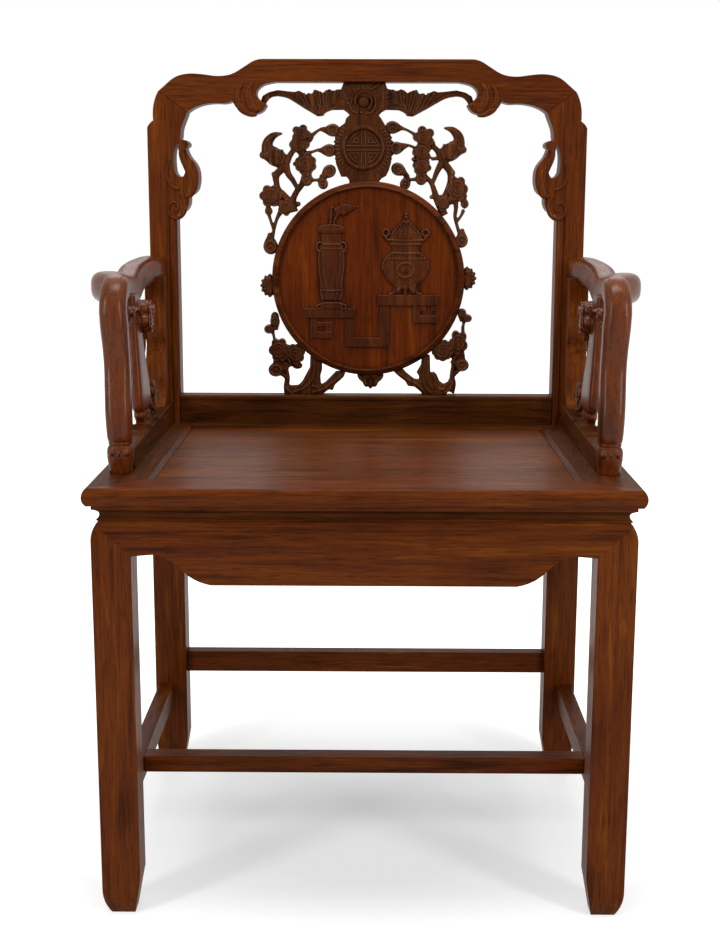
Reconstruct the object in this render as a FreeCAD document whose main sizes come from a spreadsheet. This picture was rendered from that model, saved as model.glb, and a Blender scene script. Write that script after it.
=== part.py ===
"""Rosewood armchair with a pierced medallion back, as a parametric document.

Millimetres, +Z up, -Y towards the front of the chair, +X to the right as seen
from the front. The origin is on the floor under the middle of the seat.
"""
import FreeCAD
import Part

import math
import os
import re

import Sketcher

SIZES = {
    # Seat frame and floating panel
    "seat_width": 615, "seat_depth": 490, "seat_height": 505, "seat_thickness": 25,
    "seat_overhang": 7.5, "front_rail_width": 61.5, "side_rail_width": 70,
    "rear_rail_width": 71.5, "edge_round": 6, "edge_step": 4, "edge_undercut": 9,
    "edge_lip": 4, "bevel_width": 6, "bevel_drop": 3, "panel_recess": 2.5,
    "panel_thickness": 13.5, "panel_side_gap": 0.5, "groove_depth": 9, "groove_height": 6,
    "groove_lift": 12, "panel_tongue": 8, "batten_width": 32, "batten_height": 16,
    "batten_spacing": 190,
    # Legs, recessed waist and aprons
    "leg_width": 44, "leg_depth": 40, "shoulder_drop": 22, "shoulder_in": 8,
    "foot_round_height": 32, "foot_round_in": 9, "foot_taper_height": 45, "foot_taper_in": 8,
    "leg_tenon_width": 16, "leg_tenon_depth": 12, "leg_tenon_height": 8,
    "waist_height": 13, "waist_inset": 10, "waist_thickness": 12,
    "apron_height": 71.5, "apron_thickness": 18, "apron_mitre_height": 39,
    "ogee_length": 88, "ogee_lip": 24, "ogee_rise": 2,
    # Stretchers
    "side_stretcher_top": 128, "side_stretcher_height": 30, "side_stretcher_thickness": 20,
    "side_stretcher_inset": 5, "cross_stretcher_height": 21, "cross_stretcher_depth": 25,
    "cross_stretcher_setback": 163.5, "rear_stretcher_top": 172, "rear_stretcher_height": 30,
    "rear_stretcher_thickness": 20, "rear_stretcher_inset": 10,
    "stretcher_tenon": 14, "stretcher_tenon_shoulder": 4,
    # Back frame
    "back_side_inset": 14.5, "back_inset": 46.5, "back_thickness": 34, "post_width": 37,
    "post_round": 5, "post_groove_inset": 9, "post_groove_width": 2, "post_groove_depth": 1.5,
    "post_tenon": 16, "post_tenon_shoulder": 8, "back_rail_height": 39.5,
    "back_rail_thickness": 26, "back_rail_bead": 3, "crest_corner_drop": 84.6,
    "hook_height": 100, "hook_reach": 30.6,
    # Carved splat
    "medallion_radius": 131.5, "medallion_shift": 2.5, "ring_width": 9.5, "ring_thickness": 22,
    "ring_bevel": 3.5, "ring_rebate": 3, "medallion_panel_thickness": 8, "relief_height": 4,
    "splat_foot_gap": 27.3, "carving_gap": 0.3, "collar_height": 84.2, "collar_radius": 39.5,
    "collar_shift": -4.5, "collar_thickness": 15, "roundel_radius": 28.3, "roundel_rim": 4.5,
    "roundel_height": 3, "fret_bar": 2.4, "bat_height": 44.6, "bat_thickness": 16,
    "branch_thickness": 12, "blossom_thickness": 16, "blossom_boss": 2, "stem_width": 5.2,
    "drop_shift": 6, "drop_height": 21,
    # Arms
    "arm_setback": 84.5, "arm_inset": 23.5, "arm_foot_inset": 28, "arm_bow": 28,
    "arm_rise": 207, "arm_dip": 13, "arm_bend": 25, "arm_rail_width": 34,
    "arm_rail_height": 32, "arm_rail_bevel": 9, "arm_post_width": 30,
    "arm_post_depth": 30, "arm_post_bevel": 7, "arm_tenon": 14, "sill_inset": 29,
    "sill_thickness": 25, "stile_thickness": 26,
    "bottle_thickness": 16, "bottle_half_width": 32, "spray_thickness": 9,
    "spray_relief": 1.5,
    # Greatest distance from a drawn outline to the arcs that follow it
    "outline_tolerance": 0.8,
}

# Levels and distances that follow from the sizes
DERIVED = {
    "half_x": "seat_width / 2",
    "half_y": "seat_depth / 2",
    "base_x": "half_x - seat_overhang",
    "base_y": "half_y - seat_overhang",
    "seat_bottom": "seat_height - seat_thickness",
    "apron_top": "seat_bottom - waist_height",
    "apron_low": "apron_top - apron_height",
    "apron_corner": "apron_top - apron_mitre_height",
    "panel_top": "seat_height - panel_recess",
    "panel_low": "panel_top - panel_thickness",
    "groove_low": "seat_bottom + groove_lift",
    "opening_x": "half_x - side_rail_width",
    "opening_front": "half_y - front_rail_width",
    "opening_rear": "half_y - rear_rail_width",
    "side_stretcher_outer": "base_x - side_stretcher_inset",
    "side_stretcher_inner": "side_stretcher_outer - side_stretcher_thickness",
    "back_front": "half_y - back_inset",
    "back_half_width": "half_x - back_side_inset",
    "post_inner": "back_half_width - post_width",
    "back_rail_top": "seat_height + back_rail_height",
    "medallion_z": "back_rail_top + splat_foot_gap + medallion_radius",
    "splat_y": "back_front + back_thickness / 2",
    "ring_inner": "medallion_radius - ring_width",
    "crest_under": "medallion_z + medallion_radius + collar_height + bat_height",
    "arm_line": "half_x - arm_inset",
    "arm_foot_line": "half_x - arm_foot_inset",
    "sill_line": "half_x - sill_inset",
}

DOC = FreeCAD.newDocument("chair")
SHEET = DOC.addObject("Spreadsheet::Sheet", "Sizes")
PARTS = []

SIDES = {"left": -1, "right": 1}
ENDS = {"front": -1, "rear": 1}

# Sketch planes: rotation, coordinate that offsets the plane, direction of a pad
PLANES = {
    "XY": (FreeCAD.Rotation(), "z", FreeCAD.Vector(0, 0, 1)),
    "XZ": (FreeCAD.Rotation(FreeCAD.Vector(1, 0, 0), 90), "y", FreeCAD.Vector(0, 1, 0)),
    "YZ": (FreeCAD.Rotation(0.5, 0.5, 0.5, 0.5), "x", FreeCAD.Vector(1, 0, 0)),
}


def fill_sheet():
    """Write each size and its name into the sheet."""
    for row, (alias, number) in enumerate(SIZES.items(), start=1):
        SHEET.set("A%d" % row, alias.replace("_", " "))
        SHEET.set("B%d" % row, str(number))
        SHEET.setAlias("B%d" % row, alias)
    DOC.recompute()


def expr(text):
    """Expression of the document in which each word is a named size or level."""
    def swap(word):
        name = word.group()
        return "(%s)" % expr(DERIVED[name]) if name in DERIVED else "Sizes." + name
    return re.sub(r"[a-z][a-z_]*", swap, text)


def value(text):
    """Number that an expression of named sizes gives."""
    return float(SHEET.evalExpression(expr(text)))


def finish(piece, label):
    """Name a finished sub-part and list it for export."""
    piece.Label = label
    PARTS.append(piece)
    return piece


def draw(sketch, points):
    """Closed outline in a sketch, each point bound to two expressions.

    A point with a third word, "bend", is the middle of an arc between its neighbours.
    """
    spots = [FreeCAD.Vector(value(point[0]), value(point[1]), 0) for point in points]
    count = len(points)
    links = []
    index = 0
    while index < count:
        bent = len(points[(index + 1) % count]) == 3
        after = (index + (2 if bent else 1)) % count
        if bent:
            middle = (index + 1) % count
            turn = (spots[middle] - spots[index]).cross(spots[after] - spots[middle]).z
            ends = (spots[index], spots[after]) if turn > 0 else (spots[after], spots[index])
            edge = sketch.addGeometry(Part.Arc(ends[0], spots[middle], ends[1]), False)
            knob = sketch.addGeometry(Part.Point(spots[middle]), True)
            bind(sketch, knob, 1, points[middle])
            sketch.addConstraint(Sketcher.Constraint("PointOnObject", knob, 1, edge))
            first, last = (1, 2) if turn > 0 else (2, 1)
        else:
            edge = sketch.addGeometry(Part.LineSegment(spots[index], spots[after]), False)
            first, last = 1, 2
        bind(sketch, edge, first, points[index])
        links.append((edge, first, last))
        index += 2 if bent else 1
    for number, (edge, first, last) in enumerate(links):
        following = links[(number + 1) % len(links)]
        joint = Sketcher.Constraint("Coincident", edge, last, following[0], following[1])
        sketch.addConstraint(joint)


def bind(sketch, edge, end, point):
    """Bind one end of a sketch edge to its two expressions."""
    for kind, text in zip(("DistanceX", "DistanceY"), point):
        rule = Sketcher.Constraint(kind, -1, 1, edge, end, value(text))
        number = sketch.addConstraint(rule)
        sketch.setExpression("Constraints[%d]" % number, expr(text))


def prism(name, plane, points, start, length):
    """Outline on a plane, pushed along the plane's normal from start over length."""
    rotation, axis, direction = PLANES[plane]
    sketch = DOC.addObject("Sketcher::SketchObject", name + "_outline")
    sketch.Placement = FreeCAD.Placement(FreeCAD.Vector(), rotation)
    sketch.setExpression("Placement.Base." + axis, expr(start))
    draw(sketch, points)
    solid = DOC.addObject("Part::Extrusion", name)
    solid.Base = sketch
    solid.DirMode = "Custom"
    solid.Dir = direction
    solid.Solid = True
    solid.setExpression("LengthFwd", expr(length))
    return solid


def common(name, pieces):
    """Material that all the pieces share."""
    shared = DOC.addObject("Part::MultiCommon", name)
    shared.Shapes = pieces
    return shared


def fused(name, pieces):
    """Pieces joined into one."""
    whole = DOC.addObject("Part::MultiFuse", name)
    whole.Shapes = pieces
    return whole


def cut(name, base, tools):
    """Piece with sockets for the pieces that enter it."""
    bundle = DOC.addObject("Part::Compound", name + "_sockets")
    bundle.Links = tools
    result = DOC.addObject("Part::Cut", name + "_cut")
    result.Base = base
    result.Tool = bundle
    return result


def rect(low_a, low_b, high_a, high_b):
    """Corners of a rectangle given by four expressions."""
    return [(low_a, low_b), (high_a, low_b), (high_a, high_b), (low_a, high_b)]


def body(name, plane, pads):
    """Body of pads, each an outline, the level where it starts and its length."""
    shell = DOC.addObject("PartDesign::Body", name)
    roles = {plane + "_Plane": plane for plane in PLANES}
    origin = {roles[item.Role]: item for item in shell.Origin.OriginFeatures if item.Role in roles}
    for number, (points, start, length) in enumerate(pads, start=1):
        sketch = shell.newObject("Sketcher::SketchObject", "%s_profile_%d" % (name, number))
        sketch.AttachmentSupport = (origin[plane], [""])
        sketch.MapMode = "FlatFace"
        inward = plane == "XZ"
        sketch.setExpression("AttachmentOffset.Base.z",
                             expr("-(%s)" % start if inward else start))
        draw(sketch, points)
        pad = shell.newObject("PartDesign::Pad", "%s_pad_%d" % (name, number))
        pad.Profile = sketch
        pad.Reversed = inward
        pad.setExpression("Length", expr(length))
    DOC.recompute()
    return shell


def flipped(points, sign):
    """Outline mirrored to one side: the first expression of each point times the sign."""
    return [("%d * (%s)" % (sign, point[0]),) + tuple(point[1:]) for point in points]


def leg_outline(sign, base, width):
    """One side view of a leg with a turned-in foot, a round shoulder and the waist above."""
    points = [
        (base + " - foot_round_in", "0"),
        (base + " - foot_round_in * 0.38", "foot_round_height * 0.38", "bend"),
        (base, "foot_round_height"),
        (base, "apron_top - shoulder_drop"),
        (base + " - shoulder_in * 0.5", "apron_top - shoulder_drop * 0.27", "bend"),
        (base + " - shoulder_in", "apron_top"),
        (base + " - waist_inset", "apron_top"),
        (base + " - waist_inset", "seat_bottom"),
        ("%s - %s" % (base, width), "seat_bottom"),
        ("%s - %s" % (base, width), "foot_taper_height"),
        ("%s - %s + foot_taper_in" % (base, width), "0"),
    ]
    return flipped(points, sign)


def leg(side, end, joined):
    """Leg that runs from the floor to the seat frame, with sockets for what joins it."""
    name = "%s_%s_leg" % (end, side)
    across = SIDES[side]
    along = ENDS[end]
    seen_front = prism(name + "_front_view", "XZ", leg_outline(across, "base_x", "leg_width"),
                       "-half_y", "seat_depth")
    seen_side = prism(name + "_side_view", "YZ", leg_outline(along, "base_y", "leg_depth"),
                      "-half_x", "seat_width")
    middle_x = "%d * (base_x - (leg_width + waist_inset) / 2)" % across
    middle_y = "%d * (base_y - (leg_depth + waist_inset) / 2)" % along
    tenon = prism(name + "_tenon", "XY",
                  rect(middle_x + " - leg_tenon_width / 2", middle_y + " - leg_tenon_depth / 2",
                       middle_x + " + leg_tenon_width / 2", middle_y + " + leg_tenon_depth / 2"),
                  "seat_bottom - leg_tenon_height", "2 * leg_tenon_height")
    whole = fused(name + "_whole", [common(name + "_block", [seen_front, seen_side]), tenon])
    return finish(cut(name, whole, joined), name)


def apron_face(base, width):
    """Front view of an apron: mitred top corners, a lip at the legs, then ogee curves down."""
    inner = "(%s - %s)" % (base, width)
    drop = "(apron_corner - apron_low)"
    right = [
        (base, "apron_top"),
        (inner, "apron_corner"),
        (inner + " - ogee_lip", "apron_corner + ogee_rise"),
        (inner + " - ogee_length * 0.51", "apron_corner - %s * 0.19" % drop, "bend"),
        (inner + " - ogee_length * 0.65", "apron_corner - %s * 0.53" % drop),
        (inner + " - ogee_length * 0.77", "apron_corner - %s * 0.78" % drop, "bend"),
        (inner + " - ogee_length", "apron_low"),
    ]
    return right + flipped(reversed(right), -1)


def apron(name, end, plane, base, width, far_base):
    """Apron with a rounded shoulder, mitred down the corners of the legs.

    The far base is the distance from the middle of the chair to the outer face.
    """
    sign = ENDS.get(end, SIDES.get(end))
    start = far_base if sign < 0 else far_base + " - apron_thickness"
    face = prism(name + "_face", plane, apron_face(base, width),
                 "%s%s" % ("-" if sign < 0 else "", start), "apron_thickness")
    profile = flipped([
        (far_base, "apron_low"),
        (far_base, "apron_top - shoulder_drop"),
        (far_base + " - shoulder_in * 0.5", "apron_top - shoulder_drop * 0.27", "bend"),
        (far_base + " - shoulder_in", "apron_top"),
        (far_base + " - apron_thickness", "apron_top"),
        (far_base + " - apron_thickness", "apron_low"),
    ], sign)
    across = {"XZ": "YZ", "YZ": "XZ"}[plane]
    section = prism(name + "_section", across, profile, "-" + base, "2 * " + base)
    plan = [(base, far_base), ("-" + base, far_base),
            ("apron_thickness - " + base, far_base + " - apron_thickness"),
            (base + " - apron_thickness", far_base + " - apron_thickness")]
    plan = [(along, "%d * (%s)" % (sign, out)) for along, out in plan]
    if plane == "YZ":
        plan = [(out, along) for along, out in plan]
    mitre = prism(name + "_plan", "XY", plan, "apron_low", "apron_height")
    return finish(common(name + "_common", [face, section, mitre]), name)


def waist(name, end, plane, base, width, far_base):
    """Recessed strip between the corners of the legs, under the seat frame."""
    sign = ENDS.get(end, SIDES.get(end))
    outer = "(%s - waist_inset)" % far_base
    start = "-" + outer if sign < 0 else outer + " - waist_thickness"
    inner = "(%s - %s)" % (base, width)
    pad = (rect("-" + inner, "apron_top", inner, "seat_bottom"), start, "waist_thickness")
    return finish(body(name, plane, [pad]), name)


def tenoned(name, plane, half_length, low, high, start, thickness, shoulder):
    """Square bar along a plane, with a tenon at each end."""
    reach = "(%s + stretcher_tenon)" % half_length
    bar = (rect("-" + half_length, low, half_length, high), start, thickness)
    tongue = (rect("-" + reach, "%s + %s" % (low, shoulder), reach, "%s - %s" % (high, shoulder)),
              "%s + %s" % (start, shoulder), "%s - 2 * %s" % (thickness, shoulder))
    return body(name, plane, [bar, tongue])


def stretchers():
    """Side stretchers joined by a cross stretcher, and a higher stretcher behind."""
    cross = tenoned("cross_stretcher", "XZ", "side_stretcher_inner",
                    "side_stretcher_top - cross_stretcher_height", "side_stretcher_top",
                    "-(base_y - cross_stretcher_setback)", "cross_stretcher_depth",
                    "stretcher_tenon_shoulder")
    finish(cross, "cross_stretcher")
    rear = tenoned("rear_stretcher", "XZ", "(base_x - leg_width)",
                   "rear_stretcher_top - rear_stretcher_height", "rear_stretcher_top",
                   "base_y - rear_stretcher_inset - rear_stretcher_thickness",
                   "rear_stretcher_thickness", "stretcher_tenon_shoulder")
    finish(rear, "rear_stretcher")
    sides = {}
    for side, sign in SIDES.items():
        start = "-side_stretcher_outer" if sign < 0 else "side_stretcher_inner"
        name = side + "_stretcher"
        bar = tenoned(name + "_bar", "YZ", "(base_y - leg_depth)",
                      "side_stretcher_top - side_stretcher_height", "side_stretcher_top",
                      start, "side_stretcher_thickness", "stretcher_tenon_shoulder")
        sides[side] = finish(cut(name, bar, [cross]), name)
    return rear, sides


def rail_section(outer, width, sign):
    """Section of a seat rail: moulded outer edge, bevel to the panel and a groove for it."""
    steps = [
        ("edge_undercut", "seat_bottom"),
        ("edge_undercut", "seat_bottom + edge_lip"),
        ("edge_step", "seat_bottom + seat_thickness * 0.2"),
        ("0", "seat_bottom + seat_thickness * 0.56", "bend"),
        ("edge_round * 0.5", "seat_height - edge_round * 0.25"),
        ("edge_round * 0.7", "seat_height - edge_round * 0.07", "bend"),
        ("edge_round * 1.1", "seat_height"),
        (width + " - bevel_width", "seat_height"),
        (width, "seat_height - bevel_drop"),
        (width, "groove_low + groove_height"),
        (width + " - groove_depth", "groove_low + groove_height"),
        (width + " - groove_depth", "groove_low"),
        (width, "groove_low"),
        (width, "seat_bottom"),
    ]
    return flipped([("%s - (%s)" % (outer, step[0]),) + step[1:] for step in steps], sign)


def seat_rail(name, plan, plane, outer, width, sign, tenons):
    """Mitred rail of the seat frame, with sockets for the tenons that enter it."""
    reach = "-half_y" if plane == "XZ" else "-half_x"
    length = "seat_depth" if plane == "XZ" else "seat_width"
    section = prism(name + "_section", plane, rail_section(outer, width, sign), reach, length)
    mitre = prism(name + "_plan", "XY", plan, "seat_bottom", "seat_thickness")
    rail = common(name + "_common", [section, mitre])
    return finish(cut(name, rail, tenons), name)


def seat(tenons):
    """Mitred frame, floating panel in its groove and two battens under the panel."""
    corners = {
        "front": ("half_x", "-half_y", "opening_x", "-opening_front"),
        "rear": ("half_x", "half_y", "opening_x", "opening_rear"),
    }
    for end, (x_out, y_out, x_in, y_in) in corners.items():
        plan = [("-" + x_out, y_out), (x_out, y_out), (x_in, y_in), ("-" + x_in, y_in)]
        seat_rail("seat_%s_rail" % end, plan, "YZ", "half_y", end + "_rail_width",
                  ENDS[end], tenons)
    for side, sign in SIDES.items():
        plan = flipped([("half_x", "-half_y"), ("half_x", "half_y"),
                        ("opening_x", "opening_rear"), ("opening_x", "-opening_front")], sign)
        seat_rail("seat_%s_rail" % side, plan, "XZ", "half_x", "side_rail_width", sign, tenons)

    board = (rect("panel_side_gap - opening_x", "panel_side_gap - opening_front",
                  "opening_x - panel_side_gap", "opening_rear - panel_side_gap"),
             "panel_low", "panel_thickness")
    tongue = (rect("-opening_x - panel_tongue", "-opening_front - panel_tongue",
                   "opening_x + panel_tongue", "opening_rear + panel_tongue"),
              "groove_low", "groove_height")
    finish(body("seat_panel", "XY", [board, tongue]), "seat_panel")

    for side, sign in SIDES.items():
        middle = "%d * batten_spacing / 2" % sign
        plan = rect(middle + " - batten_width / 2", "-opening_front",
                    middle + " + batten_width / 2", "opening_rear")
        name = "seat_%s_batten" % side
        finish(body(name, "XY", [(plan, "panel_low - batten_height", "batten_height")]), name)


def edges_through(points):
    """Edges through points: a line, an arc of three, or a chain of arcs along more."""
    if len(points) == 2:
        return [Part.makeLine(*points)]
    if len(points) == 3:
        return [Part.Arc(*points).toShape()]
    curve = Part.BSplineCurve()
    curve.interpolate(points)
    return [arc.toShape() for arc in curve.toBiArcs(value("outline_tolerance"))]


def plate(stretches, place, depth):
    """Board whose outline is drawn by stretches, each from the end of the one before.

    Place turns two flat numbers into a point in space and depth is the thickness vector.
    """
    edges = []
    last = place(*stretches[-1][-1])
    for stretch in stretches:
        points = [last] + [place(*spot) for spot in stretch]
        edges += edges_through(points)
        last = points[-1]
    return Part.Face(Part.Wire(edges)).extrude(depth)


def slab_of(corners, depth):
    """Board with straight sides between corners."""
    return Part.Face(Part.makePolygon(corners + corners[:1])).extrude(depth)


def joined(shapes):
    """One clean solid made of overlapping shapes."""
    whole = shapes[0].fuse(shapes[1:]) if len(shapes) > 1 else shapes[0]
    whole = whole.removeSplitter()
    return whole.Solids[0] if len(whole.Solids) == 1 else whole


def mirrored(shape):
    """The same shape on the other side of the chair."""
    return shape.mirror(FreeCAD.Vector(), FreeCAD.Vector(1, 0, 0))


def carved(name, shape):
    """Sub-part whose carved shape has no simpler description."""
    feature = DOC.addObject("Part::Feature", name)
    feature.Shape = shape
    return feature


# Half of the crest rail: shares of the back's half width, shares of the corner drop
# down from the top of the crest
CREST_HALF_SHARES = [
    [(0.467, 0)],
    [(0.500, 0.014), (0.532, 0.059), (0.569, 0.145), (0.616, 0.238), (0.653, 0.272),
     (0.700, 0.255), (0.782, 0.227), (0.828, 0.233), (0.866, 0.270), (0.903, 0.348),
     (0.931, 0.442), (0.945, 0.486)],
    [(0.817, 0.813)],
    [(0.776, 0.728), (0.738, 0.689), (0.701, 0.673), (0.636, 0.667), (0.610, 0.635)],
    [(0.590, 0.751), (0.562, 0.816), (0.526, 0.843), (0.497, 0.822), (0.469, 0.765),
     (0.456, 0.687)],
    [(0.476, 0.655), (0.495, 0.609), (0.504, 0.546), (0.498, 0.469), (0.478, 0.407),
     (0.449, 0.366), (0.413, 0.344)],
    [(0, 0.344)],
    [(0, 0)],
]

# Outer edge of a post above its straight part, in the same shares
POST_TOP_SHARES = [
    [(1.0, 1.05)],
    [(0.988, 0.985), (0.972, 0.940)],
    [(0.973, 0.799), (0.968, 0.675), (0.955, 0.550), (0.945, 0.486)],
    [(0.817, 0.813)],
    [(0.828, 0.908), (0.843, 1.05), (0.848, 1.173)],
]

# Cloud hook of a post: shares of its reach, from the tip outwards, and of its height
HOOK_SHARES = [
    [(0.20, 0.989)],
    [(0.38, 0.997), (0.556, 0.964), (0.578, 0.923), (0.461, 0.897)],
    [(0.546, 0.830), (0.765, 0.736), (0.935, 0.643), (1, 0.536), (0.941, 0.401),
     (0.735, 0.293), (0.552, 0.266)],
    [(0.569, 0.212), (0.500, 0.118), (0.314, 0.050), (0.042, 0.009), (0, 0)],
]
HOOK_HOLE_SHARES = [
    [(0.317, 0.723), (0.415, 0.615), (0.373, 0.548), (0.252, 0.514), (0.078, 0.535),
     (-0.052, 0.615), (-0.088, 0.723), (-0.062, 0.843), (0.033, 0.923), (0.170, 0.963)],
]

# Level of the crest's under edge and of a hook's top, in shares of the corner drop
CREST_UNDER_SHARE = 0.344
HOOK_TOP_SHARE = 1.237

# Half of the bat: shares of its half span and of its height
BAT_HALF_SHARES = [
    [(0.232, 1)],
    [(0.228, 0.708)],
    [(0.265, 0.765)],
    [(0.319, 0.708)],
    [(0.345, 0.780)],
    [(0.400, 0.695)],
    [(0.440, 0.800)],
    [(0.501, 0.717)],
    [(0.531, 0.745)],
    [(0.563, 0.661)],
    [(0.634, 0.700)],
    [(0.700, 0.750), (0.756, 0.767), (0.858, 0.738), (0.939, 0.637), (0.990, 0.5),
     (1.0, 0.365)],
    [(0.969, 0.413)],
    [(0.939, 0.543), (0.858, 0.637), (0.756, 0.590), (0.654, 0.442), (0.552, 0.235),
     (0.472, 0.087), (0.406, 0.056)],
    [(0.400, 0.175)],
    [(0.350, 0.235)],
    [(0.228, 0.235)],
    [(0.177, 0.188)],
    [(0.136, 0)],
    [(0, 0)],
    [(0, 1)],
]
BAT_SPAN_SHARE = 0.456

# Right half of the fretted collar: shares of its radius and of its height above the ring
COLLAR_HALF_SHARES = [
    (0.539, 1), (0.609, 0.920), (0.735, 0.945), (0.819, 0.889), (0.855, 0.835),
    (0.833, 0.780), (0.912, 0.775), (0.945, 0.732), (0.903, 0.670), (0.975, 0.650),
    (0.994, 0.607), (0.945, 0.544), (1.0, 0.520), (1.010, 0.482), (0.945, 0.419),
    (0.995, 0.395), (1.0, 0.357), (0.924, 0.310), (0.973, 0.285), (0.965, 0.240),
    (0.833, 0.200), (0.784, 0.137), (0.644, 0.106), (0.560, 0.000), (0.560, -0.16),
    (0, -0.16), (0, 1),
]
ROUNDEL_SHARE = 0.517

# Key fret of the roundel: gap between its bars in widths of a bar, and the inner, outer,
# lower and upper edge of a corner's hook in shares of the half height
FRET_GAP_SHARE = 1.5
FRET_SHARES = (0.25, 0.70, 0.36, 0.72)

# Half of the lotus drop under the ring: shares of its height
DROP_HALF_SHARES = [
    (0.762, 1.20), (0.762, 0.86), (0.70, 0.66), (0.60, 0.53), (0.56, 0.34), (0.38, 0.22),
    (0.26, 0.08), (0, 0), (0, 1.20),
]


def back_expressions():
    """Numbers that place the outline of the back frame."""
    half = value("back_half_width")
    drop = value("crest_corner_drop")
    top = value("crest_under") + CREST_UNDER_SHARE * drop
    return half, drop, top


def crest_rail():
    """Crest rail with a raised centre, ogee shoulders and cloud lobes under each end."""
    half, drop, top = back_expressions()
    front = value("back_front")
    depth = FreeCAD.Vector(0, value("back_thickness"), 0)
    right = plate(CREST_HALF_SHARES,
                  lambda x, z: FreeCAD.Vector(x * half, front, top - z * drop), depth)
    return finish(carved("crest_board", joined([right, mirrored(right)])), "crest_rail")


def post_foot(name, sign):
    """Straight part of a back post with a bead along its inner front edge."""
    round_in = "post_round * 0.3"
    section = [
        ("back_half_width", "back_front"),
        ("back_half_width", "back_front + back_thickness"),
        ("post_inner", "back_front + back_thickness"),
        ("post_inner", "back_front + post_round"),
        ("post_inner + " + round_in, "back_front + " + round_in, "bend"),
        ("post_inner + post_round", "back_front"),
        ("post_inner + post_groove_inset", "back_front"),
        ("post_inner + post_groove_inset", "back_front + post_groove_depth"),
        ("post_inner + post_groove_inset + post_groove_width",
         "back_front + post_groove_depth"),
        ("post_inner + post_groove_inset + post_groove_width", "back_front"),
    ]
    level = "crest_under - %.3f * crest_corner_drop - hook_height" % (
        HOOK_TOP_SHARE - CREST_UNDER_SHARE)
    shaft = prism(name + "_shaft", "XY", flipped(section, sign), "seat_height",
                  "%s - seat_height" % level)
    inner = "%d * (post_inner + post_tenon_shoulder)" % sign
    outer = "%d * (back_half_width - post_tenon_shoulder)" % sign
    tenon = prism(name + "_tenon", "XY",
                  rect(inner, "back_front + post_tenon_shoulder",
                       outer, "back_front + back_thickness - post_tenon_shoulder"),
                  "seat_height - post_tenon", "2 * post_tenon")
    return [shaft, tenon]


def post_top():
    """Upper part of the right back post, with its cloud hook and the slanting crest joint."""
    half, drop, top = back_expressions()
    front = value("back_front")
    depth = FreeCAD.Vector(0, value("back_thickness"), 0)
    inner = value("post_inner")
    hook_low = top - HOOK_TOP_SHARE * drop - value("hook_height")

    def post_spot(x, z):
        return x * half, top - z * drop

    def hook_spot(x, z):
        return inner - x * value("hook_reach"), hook_low + z * value("hook_height")

    stretches = [[(half, hook_low)]]
    stretches += [[post_spot(*spot) for spot in stretch] for stretch in POST_TOP_SHARES]
    stretches += [[hook_spot(*spot) for spot in stretch] for stretch in HOOK_SHARES]
    hole = [[hook_spot(*spot) for spot in stretch] for stretch in HOOK_HOLE_SHARES]

    def place(x, z):
        return FreeCAD.Vector(x, front, z)

    solid = plate(stretches, place, depth)
    return solid.cut(plate(hole, place, depth))


def back_posts(bottom_rail):
    """Pair of back posts, socketed for the bottom rail."""
    right = post_top()
    tops = {"left": mirrored(right), "right": right}
    posts = []
    for side, sign in SIDES.items():
        name = "back_%s_post" % side
        top = carved(name + "_top", tops[side])
        whole = fused(name + "_whole", post_foot(name, sign) + [top])
        posts.append(finish(cut(name, whole, [bottom_rail]), name))
    return posts


def back_bottom_rail():
    """Rail on the seat between the posts, with a fine groove under its top edge."""
    groove_high = "back_rail_top - back_rail_bead * 2"
    groove_low = "back_rail_top - back_rail_bead * 2.6"
    section = [
        ("back_front", "seat_height"),
        ("back_front", groove_low),
        ("back_front + post_groove_depth", groove_low),
        ("back_front + post_groove_depth", groove_high),
        ("back_front", groove_high),
        ("back_front", "back_rail_top - back_rail_bead"),
        ("back_front + back_rail_bead * 0.3", "back_rail_top - back_rail_bead * 0.3", "bend"),
        ("back_front + back_rail_bead", "back_rail_top"),
        ("back_front + back_rail_thickness", "back_rail_top"),
        ("back_front + back_rail_thickness", "seat_height"),
    ]
    tongue = rect("back_front + stretcher_tenon_shoulder", "seat_height + stretcher_tenon_shoulder",
                  "back_front + back_rail_thickness - stretcher_tenon_shoulder",
                  "back_rail_top - back_rail_bead * 4")
    pads = [(section, "-post_inner", "2 * post_inner"),
            (tongue, "-(post_inner + stretcher_tenon)", "2 * (post_inner + stretcher_tenon)")]
    return finish(body("back_bottom_rail", "YZ", pads), "back_bottom_rail")


def medallion_ring():
    """Turned ring that slopes in towards the panel, which a rebate behind holds."""
    front = "splat_y - ring_thickness / 2"
    rear = "splat_y + ring_thickness / 2"
    rebate = "splat_y - medallion_panel_thickness / 2"
    section = [
        (front, "ring_inner + ring_bevel"),
        (front, "medallion_radius"),
        (rear, "medallion_radius"),
        (rear, "ring_inner + ring_rebate"),
        (rebate, "ring_inner + ring_rebate"),
        (rebate, "ring_inner"),
    ]
    section = [(level, "medallion_z + " + reach) for level, reach in section]
    sketch = DOC.addObject("Sketcher::SketchObject", "ring_section")
    sketch.Placement = FreeCAD.Placement(FreeCAD.Vector(), PLANES["YZ"][0])
    sketch.setExpression("Placement.Base.x", expr("medallion_shift"))
    draw(sketch, section)
    ring = DOC.addObject("Part::Revolution", "ring_turned")
    ring.Source = sketch
    ring.Axis = FreeCAD.Vector(0, 1, 0)
    ring.Angle = 360
    ring.Solid = True
    ring.setExpression("Base.x", expr("medallion_shift"))
    ring.setExpression("Base.z", expr("medallion_z"))
    return finish(ring, "medallion_ring")


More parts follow.
